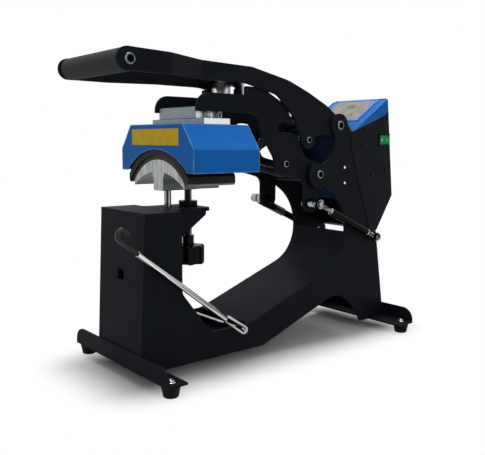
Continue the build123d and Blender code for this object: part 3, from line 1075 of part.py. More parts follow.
rod_start_y = LEVER_Y - HAIRPIN_LENGTH * math.cos(math.radians(HAIRPIN_ANGLE))
rod_start_z = LEVER_Z + HAIRPIN_LENGTH * math.sin(math.radians(HAIRPIN_ANGLE))
lever_rod = extrude(Plane.YZ * Circle(LEVER_ROD_RADIUS), amount=LEVER_ROD_LENGTH)
lever_rod = lever_place(lever_rod, rod_start_y, rod_start_z, LEVER_ANGLE) - lever_hairpin
hook_end = LEVER_ROD_LENGTH + HOOK_REACH
hook_line = Line((LEVER_ROD_LENGTH, 0), (hook_end, 0))
hook_line += ThreePointArc((hook_end, 0), (hook_end + HOOK_BEND, HOOK_BEND), (hook_end, HOOK_BEND * 2))
hook_line += Line((hook_end, HOOK_BEND * 2), (hook_end - HOOK_TAIL, HOOK_BEND * 2))
hook_start = Plane(origin=(LEVER_ROD_LENGTH, 0, 0), z_dir=(1, 0, 0))
lever_hook = sweep(hook_start * Circle(HOOK_RADIUS), path=hook_line)
lever_hook = lever_place(lever_hook, rod_start_y, rod_start_z, LEVER_ANGLE)

# ---- write the pieces --------------------------------------------------------------------------
nodes = {
    "side_plate_right": side_plate_right,
    "side_plate_left": left(side_plate_right),
    "column_front": column_front,
    "column_rear": column_rear,
    "top_plate": top_plate,
    "gussets": gussets,
    "beam_web": beam_web,
    "foot_bar_front": front_bar,
    "foot_bar_rear": rear_bar,
    "rubber_feet": rubber_feet,
    "main_shaft": main_shaft,
    "handle_shaft": handle_shaft,
    "gas_lower_studs": gas_low_studs,
    "control_box": control_box,
    "bezel": bezel,
    "screen_surround": screen_surround,
    "screen": screen,
    "switch_frame": switch_frame,
    "power_inlet": power_inlet,
    "arm_plate_right": arm_plate_right,
    "arm_plate_left": left(arm_plate_right),
    "pivot_tube": pivot_tube,
    "head_block": head_block,
    "head_plate": head_plate,
    "head_spacers": head_spacers,
    "cover": cover,
    "heat_platen": heat_platen,
    "heater_posts": heater_posts,
    "magnet_seat": magnet_seat,
    "electromagnet": electromagnet,
    "link_pins": link_pins,
    "gas_upper_studs": gas_top_studs,
    "conduit": conduit,
    "conduit_glands": conduit_glands,
    "link_right": link_right,
    "link_left": left(link_right),
    "handle_plate_right": handle_plate_right,
    "handle_plate_left": left(handle_plate_right),
    "grip_bar": grip_bar,
    "grip": grip,
    "armature": armature,
    "drag_pins": drag_pins,
    "handle_hub": handle_hub,
    "gas_tube_right": gas_tube_right,
    "gas_tube_left": left(gas_tube_right),
    "gas_fitting_right": gas_end_fitting_right,
    "gas_fitting_left": left(gas_end_fitting_right),
    "gas_rod_right": gas_rod_right,
    "gas_rod_left": left(gas_rod_right),
    "lower_platen": lower_platen,
    "silicone_pad": silicone_pad,
    "guide_rod": guide_rod,
    "spindle": spindle,
    "star_knob": star_knob,
    "lock_nut": lock_nut,
    "lever_crossbar": lever_crossbar,
    "lever_hairpin": lever_hairpin,
    "lever_rod": lever_rod,
    "lever_hook": lever_hook,
    "rocker": rocker,
}


def solids_of(shape):
    """All the separate solids of a piece or of a group of pieces."""
    if isinstance(shape, (list, tuple)):
        return [solid for item in shape for solid in solids_of(item)]
    return list(shape.solids())


solids = {name: solids_of(shape) for name, shape in nodes.items()}
whole = Compound(children=[solid.moved(Location()) for group in solids.values() for solid in group])
middle_y = whole.bounding_box().center().Y
print("depth of the origin behind the column's front face:", round(middle_y, 4))

os.makedirs("parts", exist_ok=True)
for name, group in solids.items():
    placed = [solid.moved(Location((0, -middle_y, 0))) for solid in group]
    part = placed[0] if len(placed) == 1 else Compound(children=placed)
    part.label = name
    export_step(part, os.path.join("parts", name + ".step"))
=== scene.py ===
"""Cap heat press: finishes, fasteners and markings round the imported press, on a pale studio floor."""
import json
import math

import bmesh
import bpy
from mathutils import Matrix, Vector


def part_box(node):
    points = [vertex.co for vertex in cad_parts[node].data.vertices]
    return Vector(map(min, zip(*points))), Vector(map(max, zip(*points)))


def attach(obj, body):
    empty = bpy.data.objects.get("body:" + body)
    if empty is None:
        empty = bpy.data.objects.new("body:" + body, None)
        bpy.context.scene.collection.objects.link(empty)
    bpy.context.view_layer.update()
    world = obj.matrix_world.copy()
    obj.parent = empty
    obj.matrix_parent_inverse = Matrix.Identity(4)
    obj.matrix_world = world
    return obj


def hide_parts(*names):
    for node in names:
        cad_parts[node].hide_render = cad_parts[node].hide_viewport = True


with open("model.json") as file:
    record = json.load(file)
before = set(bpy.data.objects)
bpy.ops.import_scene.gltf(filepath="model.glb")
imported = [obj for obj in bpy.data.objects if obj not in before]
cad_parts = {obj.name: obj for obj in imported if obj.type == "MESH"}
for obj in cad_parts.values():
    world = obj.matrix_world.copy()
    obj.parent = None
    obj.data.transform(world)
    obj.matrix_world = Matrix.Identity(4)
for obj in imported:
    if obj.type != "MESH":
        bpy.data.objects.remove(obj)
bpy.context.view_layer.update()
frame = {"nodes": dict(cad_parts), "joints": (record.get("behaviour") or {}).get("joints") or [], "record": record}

bl_info = {
    "name": "Cap Heat Press",
    "version": (1, 0, 0),
    "blender": (4, 5, 0),
    "location": "3D View > Sidebar > Heat Press",
    "description": "Dresses the cap heat press with its finishes, small parts and studio",
    "category": "Add Mesh",
}

JOINTS = {joint["name"]: joint for joint in frame["joints"]}

# ---- places on the press, in millimetres ----
# X runs to the operator's right, Y away from the operator from the column's front face, Z up.
MAIN_PIVOT = (323.0, 275.6)
DEPTH_SHIFT = MAIN_PIVOT[0] - JOINTS["platen_arm_lift"]["pos_m"][1] * 1000
SIDE_FACE = 63.0
RIVETS = [(382.3, 285.6), (383.3, 259.9)]
SIDE_SCREWS = [(346.7, 260.5)]
SIDE_SCREW_HEAD = (2.3, 1.1, 1.0)
SOCKET_SHARE = 0.45           # a socket's radius in its head's
BOX_SCREWS = [(430.0, 348.0), (427.4, 321.6), (452.3, 271.8), (489.4, 281.5), (477.7, 368.0)]
# The seam from its top down: depth and height, and how far its section leans there, in radians.
SEAM = [(396.4, 340.0, 0.0), (396.4, 317.0, 0.18), (448.6, 179.5, 0.36)]
# The strip's section: across the seam, and out from the side face.
SEAM_SECTION = [(-1.1, 0.0), (-0.66, 0.25), (0.66, 0.25), (1.1, 0.0)]
PLATE_PLACE = (-2.0, 54.5, 332.5)
PLATE_LEVELS = (-0.05, 0.35)  # from just under the cover's face to the plate's own
FOOT_BOLTS = [(x, y) for x in (-114.8, 114.8) for y in (2.8, 479.5)]
FOOT_FLANGE_TOP = 19.0
WASHER = 0.9
SPACER_PLACES = [(x, y) for x in (-52.0, 52.0) for y in (108.0, 128.0)]
HEAD_PLATE_TOP = 359.0
ARM_UNDERSIDE = 368.5
SPACER_HEIGHT = 2.2
SPACER_RINGS = [(4.6, 0.0), (4.85, 0.3), (4.85, 1.9), (4.6, SPACER_HEIGHT)]
SPINDLE = (0.0, 110.5)
SPINDLE_RADIUS = 5.97
SPINDLE_SPAN = (146.0, 270.7)
GAS_LOW = (450.0, 165.4)
GAS_HIGH = (309.0, 229.6)
GAS_SIDE = 76.0
GAS_TUBE_END = 31.0           # black tube ends this far short of the upper eye
# Rings on the gas springs, as radius and height: the seal from the tube's upper end, the collar from
# the lower eye, and the shroud from the upper eye.
SEAL_RINGS = [(5.4, -0.2), (5.4, 0.6), (4.4, 1.6), (3.3, 1.6)]
COLLAR_RINGS = [(6.05, 24.0), (6.25, 24.4), (6.25, 25.6), (6.05, 26.0)]
SHROUD_RINGS = [(5.2, 8.5), (7.3, 9.5), (7.3, 70.0), (6.4, 70.0), (6.4, 10.5)]
BEAM_FLOOR_SIDE = 58.9
BEAM_FLOOR_THICKNESS = 2.0
BEAM_FLOOR_PATH = [(58.0, 20.0), (150.0, 20.0), (166.0, 23.0), (178.0, 28.0), (290.0, 69.0)]
LIP_SIZE = (1.7, 81.5)
LIP_DEPTH = 2.6
LIP_PLACE = (75.15, 97.6, 269.0)
LID_ORIGIN = (400.5, 345.4)
LID_TOP = (489.5, 403.5)
LID_ANGLE = math.atan2(LID_TOP[1] - LID_ORIGIN[1], LID_TOP[0] - LID_ORIGIN[0])
SCREEN_CENTRE = (-2.0, 69.0)
SCREEN_LIFT = 0.62            # the window's face above the lid
SCREEN_RULE = 0.7
SCREEN_CORNER = 2.0
SCREEN_INK = 0.05
# Framed fields of the display: width, height, and the middle's place across and up the window.
SCREEN_FIELDS = [
    (80.0, 54.0, 0.0, 0.0),
    (72.0, 20.0, 0.0, 12.0),
    (33.0, 16.0, -19.5, -14.0),
    (33.0, 16.0, 19.5, -14.0),
]
# Plain numbers of the display: what is printed, how tall, and where its middle is.
SCREEN_NUMBERS = [("180", 15.0, 0.0, 12.0), ("20", 10.0, -19.5, -14.0), ("5", 10.0, 19.5, -14.0)]
ROCKER_PIVOT = (60.0, 482.0, 331.8)
ROCKER_TILT = math.radians(8.0)
ROCKER_FACE = 4.0
ROCKER_MARK = 6.0             # the marks of the switch from the rocker's middle
ROCKER_INK = (-0.02, 0.12)
LEVER_TILT = math.radians(37.2)
# Socket screws: body, side distance of the head's face, head radius, depth and height of the axis.
SOCKET_SCREWS = [
    ("frame", 66.0, 7.0, *MAIN_PIVOT),
    ("frame", 66.0, 7.6, 368.5, 354.3),
    ("platen_arm", 57.0, 5.6, 256.5, 293.0),
    ("handle", 61.5, 5.6, 301.0, 330.4),
    ("handle", 87.5, 7.5, -33.0, 425.5),
]
CAMERA_PLACE = (801.0, -445.2, 324.7)
CAMERA_AZIMUTH = math.radians(50.49)
CAMERA_PITCH = math.radians(7.3)
CAMERA_ROLL = math.radians(0.34)
CAMERA_LENS = 48.87
LAMP_TARGET = (0.0, 200.0, 230.0)
# Lamps: name, place, width in metres and power in watts.
LAMPS = [
    ("overhead", (-260.0, 180.0, 3200.0), 1.3, 74.0),
    ("rear", (-300.0, 1500.0, 1300.0), 1.2, 4.0),
    ("side", (2300.0, -300.0, 1000.0), 1.6, 5.0),
]
SKY_STRENGTH = 0.48
# The paper lies in shade within this half width and half depth, and this far beyond, in metres.
SHADE_SPAN = (0.055, 0.24, 0.0)
SHADE_FADE = 0.1


def at(x, y, z):
    """A place on the press in millimetres as a point of the model in metres."""
    return Vector((x, y - DEPTH_SHIFT, z)) / 1000.0


def linear(code):
    """A colour written as sRGB hex, in the linear values and full alpha that a shader takes."""
    values = [int(code[place:place + 2], 16) / 255.0 for place in (1, 3, 5)]
    return tuple(v / 12.92 if v <= 0.04045 else ((v + 0.055) / 1.055) ** 2.4 for v in values) + (1.0,)


# ---- settings that a user would change ----
def colour_setting(name, description, code):
    return bpy.props.FloatVectorProperty(name=name, description=description, subtype="COLOR", size=3,
                                         min=0.0, max=1.0, default=linear(code)[:3])


def length_setting(name, description, millimetres):
    return bpy.props.FloatProperty(name=name, description=description, unit="LENGTH", min=0.0,
                                   default=millimetres / 1000.0)


class PressColours(bpy.types.PropertyGroup):
    frame: colour_setting("Frame", "Powder coat of the frame and the arms", "#15181d")
    # The paler edge tone of the black coat is partly wear and partly a painted highlight.
    frame_edge_wear_and_highlight: colour_setting("Frame edges", "Powder coat where it is thin over an edge", "#2b2f33")
    cover: colour_setting("Cover", "Powder coat of the platen cover and the bezel", "#1164b6")
    # The cover's edge tone is a painted highlight along its folds.
    cover_edge_highlight: colour_setting("Cover edges", "Folded edges of the cover", "#8cc4ff")
    aluminium: colour_setting("Aluminium", "Milled and brushed aluminium", "#8a939a")
    steel: colour_setting("Steel", "Zinc plated steel", "#83878a")
    chrome: colour_setting("Chrome", "Polished chromium plating", "#c9cdcc")
    foam: colour_setting("Foam", "Closed cell foam of the grip", "#2a2e2d")
    plate: colour_setting("Plate", "Plain plate on the cover's front", "#dcb524")
    switch: colour_setting("Switch", "Moulded rocker of the mains switch", "#078a4c")
    screen: colour_setting("Screen", "Display window", "#6f736f")
    floor: colour_setting("Floor", "Studio floor and backdrop", "#b9b9b9")


class PressSizes(bpy.types.PropertyGroup):
    plate_width: length_setting("Plate width", "Plain plate on the cover's front", 122.0)
    plate_height: length_setting("Plate height", "Plain plate on the cover's front", 23.0)
    thread_pitch: length_setting("Thread pitch", "Pitch of the spindle's thread", 1.75)
    thread_depth: length_setting("Thread depth", "Depth of the spindle's thread", 0.85)
    box_screw: length_setting("Box screw radius", "Head radius of the control box's screws", 3.4)
    rivet: length_setting("Rivet radius", "Head radius of the rivets on the tower", 2.3)
    foot_bolt: length_setting("Foot bolt radius", "Head radius of the bolts over the feet", 5.0)
    floor_reach: length_setting("Floor", "Half length of the studio floor", 6000.0)


def colour(name):
    return tuple(getattr(bpy.context.scene.press_colours, name)) + (1.0,)


def size(name):
    """A size setting in millimetres."""
    return getattr(bpy.context.scene.press_sizes, name) * 1000.0


# ---- materials ----
def add(tree, kind, inputs=None, **settings):
    """Add one shader node, its kind without the word ShaderNode, with its settings and links. An input is
    named, or numbered where names repeat, and takes a value, or a node or a socket to link from."""
    made = tree.nodes.new("ShaderNode" + kind)
    for name, value in settings.items():
        setattr(made, name, value)
    for name, value in (inputs or {}).items():
        if isinstance(name, int):
            target = made.inputs[name]
        else:
            target = next(socket for socket in made.inputs if socket.enabled and socket.name == name)
        if isinstance(value, bpy.types.Node):
            value = next(socket for socket in value.outputs if socket.enabled)
        if isinstance(value, bpy.types.NodeSocket):
            tree.links.new(value, target)
        else:
            target.default_value = value
    return made


def begin(name):
    """A new material with an empty tree, and the place on the object that its patterns use."""
    material = bpy.data.materials.new(name)
    material.use_nodes = True
    material.node_tree.nodes.clear()
    return material, material.node_tree, add(material.node_tree, "TexCoord").outputs["Object"]


def paler(tone, share):
    """A tone made paler, or darker where the share is under 1."""
    return tuple(min(1.0, value * share) for value in tone[:3]) + (1.0,)


def edge_mask(tree, fold, crisp=0.8):
    """The rounding of an edge, fold millimetres wide, and how far a point lies on one. crisp is the cosine
    between rounded and flat at which the edge counts in full."""
    rounding = add(tree, "Bevel", {"Radius": fold / 1000.0}, samples=6)
    flat = add(tree, "NewGeometry").outputs["Normal"]
    turn = add(tree, "VectorMath", {0: rounding, 1: flat}, operation="DOT_PRODUCT")
    return rounding, add(tree, "MapRange", {"Value": turn, "From Min": 0.998, "From Max": crisp})


def seen_directly(tree):
    """1 for the rays that show the background: from the camera, off a gloss or through glass."""
    rays = add(tree, "LightPath").outputs
    seen = add(tree, "Math", {0: rays["Is Camera Ray"], 1: rays["Is Glossy Ray"]}, operation="MAXIMUM")
    return add(tree, "Math", {0: seen, 1: rays["Is Transmission Ray"]}, operation="MAXIMUM")


def powder_coat(name, base, edge, roughness=0.55, specular=0.035, fold=0.9, crisp=0.8, recess=1.0,
                mottle=1.22):
    """Steel, powder coated. fold is the rounding of an edge in millimetres, crisp the cosine at which the
    edge's tone, partly wear and partly painted highlight, is full, recess the share of colour that a deep
    recess keeps as painted shade, and mottle how much paler the film is where it is thick."""
    material, tree, place = begin(name)
    rounding, on_edge = edge_mask(tree, fold, crisp)
    # The film's thickness changes over about 45 mm, and the edges' tone, partly wear and partly painted highlight,
    # over about 9 mm.
    cloud = add(tree, "TexNoise", {"Vector": place, "Scale": 1000.0 / 45.0, "Detail": 3.0})
    patch = add(tree, "MapRange", {"Value": cloud, "From Min": 0.35, "From Max": 0.65})
    film = add(tree, "Mix", {"Factor": patch, "A": base, "B": paler(base, mottle)}, data_type="RGBA")
    rub = add(tree, "TexNoise", {"Vector": place, "Scale": 1000.0 / 9.0})
    bare = add(tree, "MapRange", {"Value": rub, "From Min": 0.35, "From Max": 0.7, "To Min": 0.35})
    # Edge tone: partly wear and partly painted highlight on the black coat, a painted highlight on the blue
    # cover's folds.
    edge_highlight_and_wear = add(tree, "Mix", {"Factor": bare, "A": base, "B": edge}, data_type="RGBA")
    shown = add(tree, "Mix", {"Factor": on_edge, "A": film, "B": edge_highlight_and_wear}, data_type="RGBA")
    if recess < 1.0:
        # Painted shade: where ambient occlusion finds a deep recess, the colour falls to the share called recess.
        openness = add(tree, "AmbientOcclusion", {"Distance": 0.12}, samples=8).outputs["AO"]
        coated = add(tree, "MapRange", {"Value": openness, "From Min": 0.62, "From Max": 0.96})
        shown = add(tree, "Mix", {"Factor": coated, "A": paler(base, recess), "B": shown},
                    data_type="RGBA")
    # The real orange peel is about 0.5 mm wide, and is drawn 0.9 mm wide so that it still shows.
    peel = add(tree, "TexNoise", {"Vector": place, "Scale": 1000.0 / 0.9})
    gloss = add(tree, "MapRange", {"Value": peel, "From Min": 0.3, "From Max": 0.7,
                                   "To Min": roughness - 0.05, "To Max": roughness + 0.05})
    skin = add(tree, "Bump", {"Height": peel, "Distance": 0.03 / 1000.0, "Strength": 0.5,
                              "Normal": rounding})
    shader = add(tree, "BsdfPrincipled", {"Base Color": shown, "Roughness": gloss, "Normal": skin,
                                          "Specular IOR Level": specular})
    add(tree, "OutputMaterial", {"Surface": shader})
    return material


def metal(name, base, dark, roughness, grain, run=(1.0, 1.0, 1.0), depth=0.01, fold=0.3, tilt=0.0,
          contrast=0.2, ends=None):
    """Bare or plated metal, whose marks from the tool shift its tone and its gloss; on chrome and ground steel its
    tone bands are painted reflections. grain is their width and depth their depth in millimetres, run how long
    they are along each axis, tilt turns them about the press's X axis, and a small contrast sets the tones
    apart sharply. ends is the tone of a painted highlight on the faces that look to the press's right."""
    material, tree, place = begin(name)
    along = add(tree, "Mapping", {"Vector": place, "Rotation": (tilt, 0.0, 0.0), "Scale": run},
                vector_type="TEXTURE")
    streak = add(tree, "TexNoise", {"Vector": along, "Scale": 1000.0 / grain, "Detail": 3.0})
    share = add(tree, "MapRange", {"Value": streak, "From Min": 0.5 - contrast,
                                   "From Max": 0.5 + contrast})
    shown = add(tree, "Mix", {"Factor": share, "A": base, "B": dark}, data_type="RGBA")
    if ends:
        # Painted highlight: faces that look to the press's right take the tone ends, as if lit from that side.
        facing = add(tree, "TexCoord").outputs["Normal"]
        sideways = add(tree, "SeparateXYZ", {"Vector": facing})
        polished = add(tree, "MapRange", {"Value": sideways.outputs["X"], "From Min": 0.6,
                                          "From Max": 0.9})
        shown = add(tree, "Mix", {"Factor": polished, "A": shown, "B": ends}, data_type="RGBA")
    gloss = add(tree, "MapRange", {"Value": streak, "From Min": 0.3, "From Max": 0.7,
                                   "To Min": roughness * 0.8, "To Max": roughness * 1.25})
    rounding = add(tree, "Bevel", {"Radius": fold / 1000.0}, samples=6)
    skin = add(tree, "Bump", {"Height": streak, "Distance": depth / 1000.0, "Strength": 0.6,
                              "Normal": rounding})
    shader = add(tree, "BsdfPrincipled", {"Base Color": shown, "Metallic": 1.0, "Roughness": gloss,
                                          "Normal": skin})
    add(tree, "OutputMaterial", {"Surface": shader})
    return material


def moulded(name, base, roughness, specular, grain, depth, mottle=1.25):
    """Plastic, rubber, enamel or ink: a closed skin whose grain, in millimetres, dulls and dents it."""
    material, tree, place = begin(name)
    cloud = add(tree, "TexNoise", {"Vector": place, "Scale": 1000.0 / 14.0})
    patch = add(tree, "MapRange", {"Value": cloud, "From Min": 0.35, "From Max": 0.65})
    shown = add(tree, "Mix", {"Factor": patch, "A": base, "B": paler(base, mottle)}, data_type="RGBA")
    fine = add(tree, "TexNoise", {"Vector": place, "Scale": 1000.0 / grain, "Detail": 3.0})
    gloss = add(tree, "MapRange", {"Value": fine, "From Min": 0.3, "From Max": 0.7,
                                   "To Min": roughness - 0.06, "To Max": roughness + 0.06})
    skin = add(tree, "Bump", {"Height": fine, "Distance": depth / 1000.0, "Strength": 0.6})
    shader = add(tree, "BsdfPrincipled", {"Base Color": shown, "Roughness": gloss, "Normal": skin,
                                          "Specular IOR Level": specular})
    add(tree, "OutputMaterial", {"Surface": shader})
    return material


def ground_foam():
    """Closed cell foam tube, drawn over the bar and ground round: cut cells and turned rings."""
    material, tree, place = begin("closed cell foam, ground")
    # One band of the wave texture spans pi / 10 of a unit at scale 1. The wheel leaves a ring each 2.4 mm.
    ring = add(tree, "TexWave", {"Vector": place, "Scale": math.pi / 10.0 * 1000.0 / 2.4},
               bands_direction="X")
    ringed = add(tree, "Bump", {"Height": ring, "Distance": 0.08 / 1000.0, "Strength": 0.5})
    cells = add(tree, "TexNoise", {"Vector": place, "Scale": 1000.0 / 0.9, "Detail": 3.0})
    cut = add(tree, "MapRange", {"Value": cells, "From Min": 0.3, "From Max": 0.7})
    shown = add(tree, "Mix", {"Factor": cut, "A": colour("foam"), "B": paler(colour("foam"), 1.8)},
                data_type="RGBA")
    skin = add(tree, "Bump", {"Height": cells, "Distance": 0.12 / 1000.0, "Strength": 0.6,
                              "Normal": ringed})
    shader = add(tree, "BsdfPrincipled", {"Base Color": shown, "Roughness": 0.78, "Normal": skin,
                                          "Specular IOR Level": 0.15})
    add(tree, "OutputMaterial", {"Surface": shader})
    return material


def corrugated_nylon():
    """Nylon conduit, extruded and corrugated with a rib each 2.6 mm."""
    material, tree, place = begin("nylon, corrugated")
    ribs = add(tree, "TexWave", {"Vector": place, "Scale": math.pi / 10.0 * 1000.0 / 2.6},
               bands_direction="Y")
    # Painted highlight: each rib's tone turns paler along the wave.
    shown = add(tree, "Mix", {"Factor": ribs, "A": linear("#08090a"), "B": linear("#1c1e21")},
                data_type="RGBA")
    skin = add(tree, "Bump", {"Height": ribs, "Distance": 0.5 / 1000.0})
    shader = add(tree, "BsdfPrincipled", {"Base Color": shown, "Roughness": 0.35, "Normal": skin,
                                          "Specular IOR Level": 0.12})
    add(tree, "OutputMaterial", {"Surface": shader})
    return material


def cast_platen(front):
    """Aluminium casting of the lower platen: its front end, up to the depth called front, is sawn, and
    the rest is left as cast, its dark grey partly the cast skin and partly painted shade."""
    material, tree, place = begin("aluminium, cast and sawn")
    upright = add(tree, "Mapping", {"Vector": place, "Scale": (1.0, 1.0, 18.0)}, vector_type="TEXTURE")
    stroke = add(tree, "TexNoise", {"Vector": upright, "Scale": 1000.0 / 1.3, "Detail": 3.0})
    tooth = add(tree, "MapRange", {"Value": stroke, "From Min": 0.3, "From Max": 0.7})
    sawn = add(tree, "Mix", {"Factor": tooth, "A": linear("#c2c5c1"), "B": linear("#757975")},
               data_type="RGBA")
    sand = add(tree, "TexNoise", {"Vector": place, "Scale": 1000.0 / 1.5, "Detail": 3.0})
    cast = add(tree, "Mix", {"Factor": sand, "A": linear("#45494b"), "B": linear("#6a6e70")},
               data_type="RGBA")
    depth = add(tree, "SeparateXYZ", {"Vector": place}).outputs["Y"]
    behind = add(tree, "MapRange", {"Value": depth, "From Min": front + 0.2 / 1000.0,
                                    "From Max": front + 0.7 / 1000.0})
    # Painted shade: the cast part behind the sawn front end is drawn much darker than the front.
    shown = add(tree, "Mix", {"Factor": behind, "A": sawn, "B": cast}, data_type="RGBA")
    rounding = add(tree, "Bevel", {"Radius": 0.6 / 1000.0}, samples=6)
    skin = add(tree, "Bump", {"Height": stroke, "Distance": 0.06 / 1000.0, "Strength": 0.6,
                              "Normal": rounding})
    shader = add(tree, "BsdfPrincipled", {"Base Color": shown, "Metallic": 1.0, "Roughness": 0.44,
                                          "Normal": skin})
    add(tree, "OutputMaterial", {"Surface": shader})
    return material


def coated_platen():
    """Aluminium casting of the heat platen with a sprayed non-stick coat, rubbed off on its rim."""
    material, tree, place = begin("cast aluminium, non-stick coated")
    # The coat's specks are about 0.3 mm wide, and are drawn 0.8 mm wide so that they still show.
    speck = add(tree, "TexNoise", {"Vector": place, "Scale": 1000.0 / 0.8, "Detail": 4.0})
    share = add(tree, "MapRange", {"Value": speck, "From Min": 0.35, "From Max": 0.65})
    coat = add(tree, "Mix", {"Factor": share, "A": linear("#0e1110"), "B": linear("#191c1b")},
               data_type="RGBA")
    rounding, on_edge = edge_mask(tree, 1.2)
    shown = add(tree, "Mix", {"Factor": on_edge, "A": coat, "B": linear("#5f6362")},
                data_type="RGBA")
    skin = add(tree, "Bump", {"Height": speck, "Distance": 0.08 / 1000.0, "Strength": 0.5,
                              "Normal": rounding})
    shader = add(tree, "BsdfPrincipled", {"Base Color": shown, "Roughness": 0.5, "Normal": skin,
                                          "Specular IOR Level": 0.12})
    add(tree, "OutputMaterial", {"Surface": shader})
    return material


def lacquered_plate():
    """Aluminium plate, printed in yellow and lacquered, its cut edge darker."""
    material, tree, place = begin("aluminium plate, lacquered")
    rounding, on_edge = edge_mask(tree, 0.5)
    wipe = add(tree, "TexNoise", {"Vector": place, "Scale": 1000.0 / 12.0, "Detail": 4.0})
    dulled = add(tree, "MapRange", {"Value": wipe, "From Min": 0.35, "From Max": 0.7})
    yellow = colour("plate")
    printed = add(tree, "Mix", {"Factor": dulled, "A": yellow, "B": paler(yellow, 0.86)},
                  data_type="RGBA")
    shown = add(tree, "Mix", {"Factor": on_edge, "A": printed, "B": linear("#5f5115")},
                data_type="RGBA")
    peel = add(tree, "TexNoise", {"Vector": place, "Scale": 1000.0 / 0.8})
    skin = add(tree, "Bump", {"Height": peel, "Distance": 0.02 / 1000.0, "Strength": 0.5,
                              "Normal": rounding})
    shader = add(tree, "BsdfPrincipled", {"Base Color": shown, "Roughness": 0.38, "Normal": skin,
                                          "Specular IOR Level": 0.06})
    add(tree, "OutputMaterial", {"Surface": shader})
    return material


